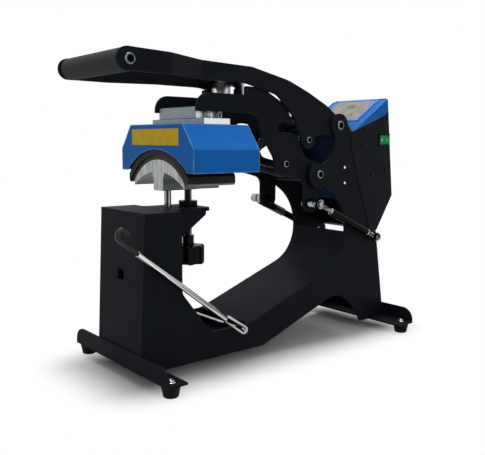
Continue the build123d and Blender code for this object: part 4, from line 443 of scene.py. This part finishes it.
def make_finishes():
    """Every finish by the name of its slot in the record, and those of single nodes and pieces."""
    black = (colour("frame"), colour("frame_edge_wear_and_highlight"))
    blue = (colour("cover"), colour("cover_edge_highlight"))
    upright = (1.0, 1.0, 30.0)
    across = (24.0, 1.0, 1.0)
    return {
        # Mild steel plate, laser cut and powder coated: an even matt black, a shade paler on its cut edges, partly
        # wear and partly painted highlight.
        "frame_paint": powder_coat("steel, powder coated matt black", *black),
        # Folded sheet of the control box, coated with the frame: the same black with a touch more sheen.
        "box_paint": powder_coat("steel, powder coated box", *black, roughness=0.5, specular=0.045),
        # Folded sheet, powder coated in a semi-gloss: clear blue faces with a painted highlight along each fold.
        "cover_paint": powder_coat("steel, powder coated blue", *blue, roughness=0.42, specular=0.07,
                                   fold=2.4, crisp=0.95, mottle=1.05),
        # The same coat on the bezel, with painted shade that turns it almost black inside the gap over the main
        # shaft.
        "bezel_paint": powder_coat("steel, powder coated blue bezel", *blue, roughness=0.38, specular=0.07,
                                   fold=1.6, crisp=0.93, recess=0.05, mottle=1.05),
        # Aluminium plate, milled across and sawn at its ends: blue grey faces, and a painted highlight on the
        # faces that look to the press's right.
        "aluminium": metal("aluminium, milled", colour("aluminium"), linear("#6d757b"), 0.38, 0.7, across,
                           0.02, 0.6, ends=linear("#dfe4e9")),
        # Aluminium sheet, sheared: a dull grey lip.
        "lip_aluminium": metal("aluminium, sheared", linear("#7c8287"), linear("#4a4e52"), 0.42, 1.2,
                               (1.0, 12.0, 1.0), 0.02),
        # Sand cast aluminium with a sawn end: bright strokes in front, grainy dark grey behind, partly painted
        # shade.
        "platen_aluminium": cast_platen(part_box("lower_platen")[0][1]),
        # Steel, polished and chromium plated: almost white, with soft darker patches.
        "chrome": metal("steel, chromium plated", colour("chrome"), linear("#7d8282"), 0.12, 3.0,
                        depth=0.002),
        # Studs and eyes, turned and chromium plated: bright and nearly black rings side by side, as painted
        # reflections.
        "stud_chrome": metal("steel, turned and chromium plated", linear("#9da2a2"), linear("#060707"),
                             0.14, 4.0, (1.0, 5.0, 5.0), 0.002, contrast=0.05),
        # The magnet's housing, drawn and chromium plated: upright bands of white and black, as painted
        # reflections.
        "magnet_chrome": metal("steel housing, chromium plated", linear("#e6e9ea"), linear("#17191b"),
                               0.12, 8.0, upright, 0.002),
        # The lever's rod, drawn and chromium plated: long bright and dark lines, as painted reflections.
        "rod_chrome": metal("steel rod, drawn and chromium plated", linear("#e6e9e8"), linear("#26292a"),
                            0.14, 2.6, (1.0, 60.0, 1.0), 0.002, tilt=-LEVER_TILT, contrast=0.14),
        # Shafts and pins, turned and zinc plated: a mid grey with a silky gloss.
        "steel": metal("steel, zinc plated", colour("steel"), linear("#3d4142"), 0.26, 1.6, upright),
        # Guide rod, spindle and spacers, ground and oiled: dark grey green with bright upright lines, as painted
        # reflections.
        "ground_steel": metal("steel, ground and oiled", linear("#a9ada7"), linear("#1a1c1a"), 0.22, 3.4,
                              (1.0, 1.0, 60.0), 0.004, contrast=0.12),
        # Rivets, bright zinc plated: small pale dots.
        "bright_zinc": metal("steel, bright zinc plated", linear("#eceeee"), linear("#cfd2d2"), 0.3, 1.6,
                             depth=0.004),
        # The lock nut, blackened in oil: dull black with a faint tool mark.
        "nut_steel": metal("steel, blackened", linear("#17191b"), linear("#0c0d0e"), 0.38, 0.8, upright,
                           fold=0.5),
        # Aluminium casting with a non-stick coat: a speckled dark grey that the rim wears through.
        "platen_coating": coated_platen(),
        # Silicone rubber, pressed in a mould: a soft dark grey without shine.
        "silicone": moulded("silicone rubber, pressed", linear("#2a2d2b"), 0.62, 0.25, 0.7, 0.05),
        # Rubber feet, moulded: nearly black, with a dusty surface.
        "rubber": moulded("rubber, moulded", linear("#121418"), 0.6, 0.08, 0.9, 0.06),
        # Closed cell foam, ground round: a dull green grey with fine rings.
        "foam": ground_foam(),
        # Vinyl, dipped over the hook: wet looking black.
        "vinyl": moulded("vinyl, dipped", linear("#020203"), 0.1, 0.32, 2.0, 0.01),
        # Nylon, injection moulded: satin black.
        "black_plastic": moulded("nylon, moulded", linear("#08090b"), 0.35, 0.08, 0.8, 0.03),
        # Nylon conduit, corrugated: black, with a painted highlight on each rib.
        "conduit_plastic": corrugated_nylon(),
        # Steel tube of the gas springs, enamelled: deep black with a narrow highlight.
        "black_paint": moulded("steel tube, black enamel", linear("#030304"), 0.2, 0.06, 3.0, 0.005),
        # Polycarbonate, moulded: the clear green of a lit rocker.
        "green_plastic": moulded("polycarbonate, moulded green", colour("switch"), 0.3, 0.1, 2.0, 0.01),
        # Acrylic, cast and polished, over a grey display: a pale, cloudy gloss.
        "screen_glass": moulded("acrylic window, cast", colour("screen"), 0.14, 0.3, 4.0, 0.002, 1.35),
        # Polyester overlay, screen printed: a flat blue border.
        "screen_frame": moulded("polyester overlay, printed", linear("#3a78cf"), 0.35, 0.15, 1.5, 0.01,
                                1.1),
        # Aluminium, printed and lacquered: plain yellow, a little dulled by wiping.
        "plate": lacquered_plate(),
        # Printing inks: flat tones without gloss.
        "ink": moulded("printing ink, dark", linear("#33342f"), 0.5, 0.2, 0.8, 0.004),
        "rule_ink": moulded("printing ink, orange", linear("#a8714a"), 0.5, 0.2, 0.8, 0.004),
        "white_ink": moulded("printing ink, white", linear("#dfe8e2"), 0.45, 0.3, 0.8, 0.004, 1.05),
        # Sockets and gaps out of the light: painted shade, in black.
        "shadow_black": moulded("steel, oiled black", linear("#030304"), 0.6, 0.02, 0.8, 0.01),
    }


FINISH = {}
NODE_FINISH = {
    "lower_platen": "platen_aluminium",
    "lock_nut": "nut_steel",
    "electromagnet": "magnet_chrome",
    "lever_rod": "rod_chrome",
    "lever_hairpin": "rod_chrome",
    "guide_rod": "ground_steel",
    "head_spacers": "ground_steel",
    "gas_upper_studs": "stud_chrome",
    "gas_lower_studs": "stud_chrome",
    "gas_fitting_right": "stud_chrome",
    "gas_fitting_left": "stud_chrome",
    "gas_rod_right": "stud_chrome",
    "gas_rod_left": "stud_chrome",
}


# ---- meshes ----
def piece(name, mesh, body, slot, finish=None, replaced=()):
    """Turn a bmesh into a piece that rides on a body and takes its finish from a slot."""
    bmesh.ops.recalc_face_normals(mesh, faces=mesh.faces)
    data = bpy.data.meshes.new(name)
    mesh.to_mesh(data)
    mesh.free()
    made = bpy.data.objects.new(name, data)
    bpy.context.scene.collection.objects.link(made)
    data.materials.append(FINISH[finish or slot])
    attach(made, body)
    if replaced:
        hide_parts(*replaced)


def join_loops(mesh, loops, smooth=False):
    """Join a stack of loops with as many corners each by faces, and close both ends."""
    for below, above in zip(loops, loops[1:]):
        for step in range(len(below)):
            after = (step + 1) % len(below)
            mesh.faces.new((below[step], below[after], above[after], above[step])).smooth = smooth
    mesh.faces.new(loops[0])
    mesh.faces.new(loops[-1])


def ring_stack(mesh, rings, place, sides=48):
    """Skin a stack of rings. Each ring is (radius, height), with 6 after them where it is a hexagon.
    place turns (across, up, height) in millimetres into a point of the model."""
    loops = []
    for radius, height, *corners in rings:
        loop = []
        for step in range(sides):
            angle = math.tau * step / sides
            reach = radius
            if corners:
                half = math.pi / corners[0]
                reach = radius * math.cos(half) / math.cos((angle % (2 * half)) - half)
            loop.append(mesh.verts.new(place(reach * math.cos(angle), reach * math.sin(angle), height)))
        loops.append(loop)
    join_loops(mesh, loops, True)


def button_head(radius, height, socket):
    """Rings of a domed screw head with a hexagon socket, as shares of its radius and height."""
    return [
        (radius * 0.94, -0.2),
        (radius, 0.0),
        (radius, height * 0.35),
        (radius * 0.93, height * 0.68),
        (radius * 0.78, height * 0.9),
        (radius * 0.58, height),
        (socket * 1.12, height),
        (socket, height * 0.94, 6),
        (socket * 0.98, height * 0.4, 6),
    ]


def facing_x(x, y, z, side):
    """Place for a round piece on a face that looks right, or left where side is -1."""
    return lambda across, up, height: at(side * (x + height), y + across, z + up)


def standing(x, y, z):
    """Place for a round piece that stands upright."""
    return lambda across, up, height: at(x + across, y + up, z + height)


def along_gas_spring(side, eye, way):
    """Place for a round piece on a gas spring's axis, its height counted from one eye to the other."""
    def place(across, up, height):
        y = eye[0] + way.x * height - way.y * up
        z = eye[1] + way.y * height + way.x * up
        return at(side * (GAS_SIDE + across), y, z)
    return place


def oval(half_across, half_up, middle, steps=28):
    """Corners of an oval whose middle lies off to one side."""
    turns = [math.tau * step / steps for step in range(steps)]
    return [(half_across * math.cos(turn) + middle, half_up * math.sin(turn)) for turn in turns]


def rounded(width, height, radius, steps=6):
    """Corners of a rectangle with rounded corners, round its middle."""
    points = []
    for turn, (a, b) in enumerate(((1, 1), (-1, 1), (-1, -1), (1, -1))):
        for step in range(steps + 1):
            angle = math.pi / 2 * (turn + step / steps)
            points.append((a * (width / 2 - radius) + radius * math.cos(angle),
                           b * (height / 2 - radius) + radius * math.sin(angle)))
    return points


def slab(mesh, points, low, high, place):
    """Thin plate with an outline, from height low to high, its upper edge slightly rounded."""
    count = len(points)
    middle = (sum(p[0] for p in points) / count, sum(p[1] for p in points) / count)
    inset = (high - low) * 0.4
    levels = []
    for height, pull in ((low, 0.0), (high - inset, 0.0), (high, inset)):
        level = []
        for across, up in points:
            away = Vector((across - middle[0], up - middle[1]))
            share = 1.0 - pull / max(away.length, 1e-6)
            corner = place(middle[0] + away.x * share, middle[1] + away.y * share, height)
            level.append(mesh.verts.new(corner))
        levels.append(level)
    join_loops(mesh, levels)


def band(mesh, outer, inner, low, high, place):
    """Flat frame between two outlines with the same number of corners."""
    count = len(outer)
    rows = [[mesh.verts.new(place(a, b, height)) for a, b in line]
            for line, height in ((outer, low), (outer, high), (inner, high), (inner, low))]
    for row, following in zip(rows, rows[1:] + rows[:1]):
        for step in range(count):
            after = (step + 1) % count
            mesh.faces.new((row[step], row[after], following[after], following[step]))


def on_lid(across, up, height):
    """Place on the sloping lid of the control box: across, up the slope, and off it."""
    y = LID_ORIGIN[0] + up * math.cos(LID_ANGLE) - height * math.sin(LID_ANGLE)
    z = LID_ORIGIN[1] + up * math.sin(LID_ANGLE) + height * math.cos(LID_ANGLE)
    return at(across, y, z)


def on_rocker(along, up, height):
    """Place on the rocker's face, whose halves rise from its middle, at its rest tilt."""
    x = ROCKER_FACE + abs(along) * math.tan(ROCKER_TILT) + height
    turned_x = x * math.cos(ROCKER_TILT) + along * math.sin(ROCKER_TILT)
    turned_y = along * math.cos(ROCKER_TILT) - x * math.sin(ROCKER_TILT)
    return at(ROCKER_PIVOT[0] + turned_x, ROCKER_PIVOT[1] + turned_y, ROCKER_PIVOT[2] + up)


# ---- operators ----
class PRESS_OT_finishes(bpy.types.Operator):
    """Give every CAD node of the press its paint, plating, metal, rubber or plastic"""
    bl_idname = "press.finishes"
    bl_label = "Finishes"

    def execute(self, context):
        FINISH.update(make_finishes())
        for part in frame["record"]["subparts"]:
            finish = NODE_FINISH.get(part["node"], part["material_slot"])
            data = frame["nodes"][part["node"]].data
            data.materials.clear()
            data.materials.append(FINISH[finish])
        return {"FINISHED"}


class PRESS_OT_plate(bpy.types.Operator):
    """Fix the plain yellow plate on the cover's front"""
    bl_idname = "press.plate"
    bl_label = "Plain plate"

    def execute(self, context):
        mesh = bmesh.new()
        x, y, z = PLATE_PLACE
        points = rounded(size("plate_width"), size("plate_height"), 1.0)
        slab(mesh, points, *PLATE_LEVELS, lambda across, up, height: at(across + x, y - height, z + up))
        piece("plain_plate", mesh, "platen_arm", "cover_paint", "plate")
        return {"FINISHED"}


class PRESS_OT_fasteners(bpy.types.Operator):
    """Fix the rivets, screws and bolts of the frame"""
    bl_idname = "press.fasteners"
    bl_label = "Fasteners"

    def execute(self, context):
        rivets = bmesh.new()
        screws = bmesh.new()
        for side in (-1, 1):
            for y, z in RIVETS:
                radius = size("rivet")
                dome = [(radius, -0.1), (radius, 0.25), (radius * 0.8, 0.7), (radius * 0.4, 0.95)]
                ring_stack(rivets, dome, facing_x(SIDE_FACE, y, z, side), 24)
            for y, z in SIDE_SCREWS:
                ring_stack(screws, button_head(*SIDE_SCREW_HEAD), facing_x(SIDE_FACE, y, z, side), 24)
            for y, z in BOX_SCREWS:
                radius = size("box_screw")
                head = button_head(radius, 1.3, radius * SOCKET_SHARE)
                ring_stack(screws, head, facing_x(SIDE_FACE, y, z, side), 24)
        piece("tower_rivets", rivets, "frame", "chrome", "bright_zinc")
        piece("box_screws", screws, "frame", "black_plastic")
        bolts = bmesh.new()
        for x, y in FOOT_BOLTS:
            radius = size("foot_bolt")
            washer = [(radius * 1.35, -0.1), (radius * 1.35, WASHER), (radius * 0.6, WASHER)]
            head = button_head(radius, 3.0, radius * SOCKET_SHARE)
            ring_stack(bolts, washer, standing(x, y, FOOT_FLANGE_TOP))
            ring_stack(bolts, head, standing(x, y, FOOT_FLANGE_TOP + WASHER))
        piece("foot_bolts", bolts, "frame", "chrome")
        collars = bmesh.new()
        for x, y in SPACER_PLACES:
            for low in (HEAD_PLATE_TOP, ARM_UNDERSIDE - SPACER_HEIGHT):
                ring_stack(collars, SPACER_RINGS, standing(x, y, low))
        piece("spacer_collars", collars, "platen_arm", "steel")
        return {"FINISHED"}


class PRESS_OT_sockets(bpy.types.Operator):
    """Sink the dark hexagon sockets into the shafts' button heads"""
    bl_idname = "press.sockets"
    bl_label = "Sockets"

    def execute(self, context):
        for number, (body, x, radius, y, z) in enumerate(SOCKET_SCREWS):
            mesh = bmesh.new()
            for side in (-1, 1):
                # A shallow cup round the hexagon, as shares of the head's radius.
                cup = [(radius * 0.66, -0.3), (radius * 0.66, 0.06), (radius * 0.4, 0.06, 6),
                       (radius * 0.38, -0.3, 6)]
                ring_stack(mesh, cup, facing_x(x, y, z, side), 36)
            # The sockets' black is painted shade inside the hexagon.
            piece("socket_%d" % (number + 1), mesh, body, "steel", "shadow_black")
        return {"FINISHED"}


class PRESS_OT_spindle(bpy.types.Operator):
    """Cut the thread of the spindle that raises the lower platen"""
    bl_idname = "press.spindle"
    bl_label = "Spindle"

    def execute(self, context):
        pitch = size("thread_pitch")
        depth = size("thread_depth")
        sides = 36
        rows_a_turn = 6
        # Crest and root are flat for about a tenth of the pitch each, and the flanks fall evenly between.
        crest = 0.15
        flank = 1.25
        low, high = SPINDLE_SPAN
        rows = int((high - low) / pitch * rows_a_turn)
        mesh = bmesh.new()
        loops = []
        for row in range(rows + 1):
            z = low + (high - low) * row / rows
            loop = []
            for step in range(sides):
                angle = math.tau * step / sides
                phase = ((z - low) / pitch - step / sides) % 1.0
                groove = abs(2.0 * phase - 1.0)
                reach = SPINDLE_RADIUS - depth * min(1.0, max(0.0, groove * flank - crest))
                if row in (0, rows):
                    reach = SPINDLE_RADIUS - depth
                loop.append(mesh.verts.new(at(SPINDLE[0] + reach * math.cos(angle),
                                              SPINDLE[1] + reach * math.sin(angle), z)))
            loops.append(loop)
        join_loops(mesh, loops, True)
        piece("spindle_thread", mesh, "adjuster", "steel", "ground_steel", ("spindle",))
        return {"FINISHED"}


class PRESS_OT_gas_seals(bpy.types.Operator):
    """Fit the bright seals and collars of the gas springs' tubes, and the shroud of the left rod"""
    bl_idname = "press.gas_seals"
    bl_label = "Gas spring seals"

    def execute(self, context):
        run = Vector((GAS_HIGH[0] - GAS_LOW[0], GAS_HIGH[1] - GAS_LOW[1]))
        end = run.length - GAS_TUBE_END
        run.normalize()
        mesh = bmesh.new()
        for side in (-1, 1):
            place = along_gas_spring(side, GAS_LOW, run)
            ring_stack(mesh, [(radius, end + height) for radius, height in SEAL_RINGS], place, 36)
            ring_stack(mesh, COLLAR_RINGS, place, 36)
        piece("gas_seals", mesh, "gas_tubes", "chrome")
        shroud = bmesh.new()
        ring_stack(shroud, SHROUD_RINGS, along_gas_spring(-1, GAS_HIGH, -run), 36)
        piece("gas_shroud_left", shroud, "gas_rods", "black_paint")
        return {"FINISHED"}


class PRESS_OT_seam_shade_strips(bpy.types.Operator):
    """Lay a black strip of painted shade in the seam between the tower and the control box"""
    bl_idname = "press.seam_strips"
    bl_label = "Seam strips"

    def execute(self, context):
        mesh = bmesh.new()
        for side in (-1, 1):
            rows = []
            for y, z, lean in SEAM:
                rows.append([mesh.verts.new(at(side * (SIDE_FACE + out), y + across * math.cos(lean),
                                               z + across * math.sin(lean)))
                             for across, out in SEAM_SECTION])
            join_loops(mesh, rows)
        # The strip is painted shade: black where the seam's gap lies out of the light.
        piece("seam_strips", mesh, "frame", "black_plastic", "shadow_black")
        return {"FINISHED"}


class PRESS_OT_beam_floor(bpy.types.Operator):
    """Close the beam underneath with a bent plate between the side plates"""
    bl_idname = "press.beam_floor"
    bl_label = "Beam floor"

    def execute(self, context):
        mesh = bmesh.new()
        upper = [(y, z + BEAM_FLOOR_THICKNESS) for y, z in reversed(BEAM_FLOOR_PATH)]
        corners = BEAM_FLOOR_PATH + upper
        sides = [[mesh.verts.new(at(side * BEAM_FLOOR_SIDE, y, z)) for y, z in corners] for side in (-1, 1)]
        join_loops(mesh, sides)
        piece("beam_floor", mesh, "frame", "frame_paint")
        return {"FINISHED"}


class PRESS_OT_platen_lips(bpy.types.Operator):
    """Run the bare metal lips along the lower ends of the heat platen"""
    bl_idname = "press.platen_lips"
    bl_label = "Platen lips"

    def execute(self, context):
        mesh = bmesh.new()
        x, y, z = LIP_PLACE
        points = rounded(*LIP_SIZE, 0.4, 3)
        for side in (-1, 1):
            slab(mesh, points, 0.0, LIP_DEPTH,
                 lambda across, up, height, side=side: at(side * (x + across), y + up, z - height))
        piece("platen_lips", mesh, "platen_arm", "aluminium", "lip_aluminium")
        return {"FINISHED"}


class PRESS_OT_screen_marks(bpy.types.Operator):
    """Print the plain numbers and rules of the display"""
    bl_idname = "press.screen_marks"
    bl_label = "Screen marks"

    def execute(self, context):
        def place(across, up, height):
            return on_lid(SCREEN_CENTRE[0] + across, SCREEN_CENTRE[1] + up, SCREEN_LIFT + height)

        rules = bmesh.new()
        for width, height, across, up in SCREEN_FIELDS:
            outline = rounded(width, height, SCREEN_CORNER)
            inside = rounded(width - 2 * SCREEN_RULE, height - 2 * SCREEN_RULE, SCREEN_CORNER - SCREEN_RULE)
            outer = [(a + across, b + up) for a, b in outline]
            inner = [(a + across, b + up) for a, b in inside]
            band(rules, outer, inner, -SCREEN_INK, SCREEN_INK, place)
        piece("screen_rules", rules, "frame", "screen_frame", "rule_ink")
        numbers = bmesh.new()
        for digits, tall, across, up in SCREEN_NUMBERS:
            curve = bpy.data.curves.new("digits", "FONT")
            curve.body = digits
            curve.size = tall
            curve.align_x = "CENTER"
            curve.align_y = "CENTER"
            holder = bpy.data.objects.new("digits", curve)
            flat = bpy.data.meshes.new_from_object(holder)
            first = len(numbers.verts)
            numbers.from_mesh(flat)
            numbers.verts.ensure_lookup_table()
            for vert in numbers.verts[first:]:
                vert.co = place(vert.co.x + across, vert.co.y + up, SCREEN_INK)
            bpy.data.objects.remove(holder)
            bpy.data.curves.remove(curve)
            bpy.data.meshes.remove(flat)
        piece("screen_numbers", numbers, "frame", "screen_frame", "ink")
        return {"FINISHED"}


class PRESS_OT_switch_marks(bpy.types.Operator):
    """Print the line and the ring of the mains switch"""
    bl_idname = "press.switch_marks"
    bl_label = "Switch marks"

    def execute(self, context):
        mesh = bmesh.new()
        bar = [(along + ROCKER_MARK, up) for along, up in rounded(1.0, 5.0, 0.3, 3)]
        slab(mesh, bar, *ROCKER_INK, on_rocker)
        band(mesh, oval(2.1, 2.6, -ROCKER_MARK), oval(1.3, 1.8, -ROCKER_MARK), *ROCKER_INK, on_rocker)
        piece("switch_marks", mesh, "rocker", "green_plastic", "white_ink")
        return {"FINISHED"}


class PRESS_OT_stage(bpy.types.Operator):
    """Set the press on a pale floor in soft studio light, with the camera at the photograph's angle"""
    bl_idname = "press.stage"
    bl_label = "Studio"

    def execute(self, context):
        scene = context.scene
        self.floor(scene)
        self.world(scene)
        self.lamps(scene)
        self.camera(scene)
        scene.view_settings.view_transform = "Standard"
        return {"FINISHED"}

    def floor(self, scene):
        reach = size("floor_reach") / 1000.0
        mesh = bmesh.new()
        corners = ((-1, -1), (1, -1), (1, 1), (-1, 1))
        mesh.faces.new([mesh.verts.new((a * reach, b * reach, 0.0)) for a, b in corners])
        data = bpy.data.meshes.new("studio_floor")
        mesh.to_mesh(data)
        mesh.free()
        ground = bpy.data.objects.new("studio_floor", data)
        scene.collection.objects.link(ground)
        material, tree, place = begin("seamless paper, matt white")
        seen = seen_directly(tree)
        # The paper is white by itself a hand's breadth away from the press, where its shadow ends.
        away = add(tree, "VectorMath", {0: place}, operation="ABSOLUTE")
        away = add(tree, "VectorMath", {0: away, 1: SHADE_SPAN}, operation="SUBTRACT")
        away = add(tree, "VectorMath", {0: away, 1: (0.0, 0.0, 0.0)}, operation="MAXIMUM")
        away = add(tree, "VectorMath", {0: away}, operation="LENGTH")
        far = add(tree, "MapRange", {"Value": away, "From Max": SHADE_FADE},
                  interpolation_type="SMOOTHSTEP")
        share = add(tree, "Math", {0: far, 1: seen}, operation="MULTIPLY")
        # Light that bounces off the paper is held back, as dark cards beside the press would do.
        tone = add(tree, "Mix", {"Factor": seen, "A": linear("#b4b4b4"), "B": colour("floor")},
                   data_type="RGBA")
        paper = add(tree, "BsdfDiffuse", {"Color": tone, "Roughness": 1.0})
        glow = add(tree, "Emission", {"Color": (1.0, 1.0, 1.0, 1.0), "Strength": 1.0})
        both = add(tree, "MixShader", {0: share, 1: paper, 2: glow})
        add(tree, "OutputMaterial", {"Surface": both})
        data.materials.append(material)

    def world(self, scene):
        world = scene.world or bpy.data.worlds.new("studio")
        scene.world = world
        world.use_nodes = True
        tree = world.node_tree
        tree.nodes.clear()
        seen = seen_directly(tree)
        soft = add(tree, "Background", {"Color": (1.0, 1.0, 1.0, 1.0), "Strength": SKY_STRENGTH})
        bright = add(tree, "Background", {"Color": (1.0, 1.0, 1.0, 1.0), "Strength": 1.0})
        mix = add(tree, "MixShader", {0: seen, 1: soft, 2: bright})
        add(tree, "OutputWorld", {"Surface": mix})

    def lamps(self, scene):
        target = at(*LAMP_TARGET)
        for name, place, width, power in LAMPS:
            light = bpy.data.lights.new(name, "AREA")
            light.shape = "DISK"
            light.size = width
            light.energy = power
            lamp = bpy.data.objects.new(name, light)
            lamp.location = at(*place)
            lamp.rotation_mode = "QUATERNION"
            lamp.rotation_quaternion = (target - lamp.location).to_track_quat("-Z", "Y")
            scene.collection.objects.link(lamp)

    def camera(self, scene):
        right = Vector((math.cos(CAMERA_AZIMUTH), math.sin(CAMERA_AZIMUTH), 0.0))
        level = math.cos(CAMERA_PITCH)
        ahead = Vector((-math.sin(CAMERA_AZIMUTH) * level, math.cos(CAMERA_AZIMUTH) * level,
                        -math.sin(CAMERA_PITCH)))
        upward = right.cross(ahead)
        rolled_right = right * math.cos(CAMERA_ROLL) + upward * math.sin(CAMERA_ROLL)
        rolled_up = upward * math.cos(CAMERA_ROLL) - right * math.sin(CAMERA_ROLL)
        data = bpy.data.cameras.new("camera")
        data.lens = CAMERA_LENS
        data.sensor_width = 36.0
        data.sensor_fit = "HORIZONTAL"
        data.clip_end = 50.0
        eye = bpy.data.objects.new("camera", data)
        eye.rotation_mode = "QUATERNION"
        eye.rotation_quaternion = Matrix((rolled_right, rolled_up, -ahead)).transposed().to_quaternion()
        eye.location = at(*CAMERA_PLACE)
        scene.collection.objects.link(eye)
        scene.camera = eye


OPERATORS = (
    PRESS_OT_finishes,
    PRESS_OT_plate,
    PRESS_OT_fasteners,
    PRESS_OT_sockets,
    PRESS_OT_spindle,
    PRESS_OT_gas_seals,
    PRESS_OT_seam_shade_strips,
    PRESS_OT_beam_floor,
    PRESS_OT_platen_lips,
    PRESS_OT_screen_marks,
    PRESS_OT_switch_marks,
    PRESS_OT_stage,
)


class PRESS_PT_panel(bpy.types.Panel):
    """Lists the press's settings and the buttons that make its parts"""
    bl_idname = "PRESS_PT_panel"
    bl_label = "Heat Press"
    bl_space_type = "VIEW_3D"
    bl_region_type = "UI"
    bl_category = "Heat Press"

    def draw(self, context):
        for group in (context.scene.press_colours, context.scene.press_sizes):
            for name in group.__annotations__:
                self.layout.prop(group, name)
        for operator in OPERATORS:
            self.layout.operator(operator.bl_idname)


CLASSES = (PressColours, PressSizes) + OPERATORS + (PRESS_PT_panel,)


def register():
    for item in CLASSES:
        bpy.utils.register_class(item)
    bpy.types.Scene.press_colours = bpy.props.PointerProperty(type=PressColours)
    bpy.types.Scene.press_sizes = bpy.props.PointerProperty(type=PressSizes)


def unregister():
    del bpy.types.Scene.press_sizes
    del bpy.types.Scene.press_colours
    for item in reversed(CLASSES):
        bpy.utils.unregister_class(item)


def main():
    """Make every part in order."""
    register()
    for operator in OPERATORS:
        getattr(bpy.ops.press, operator.bl_idname.split(".")[1])()


if __name__ == "__main__":
    main()
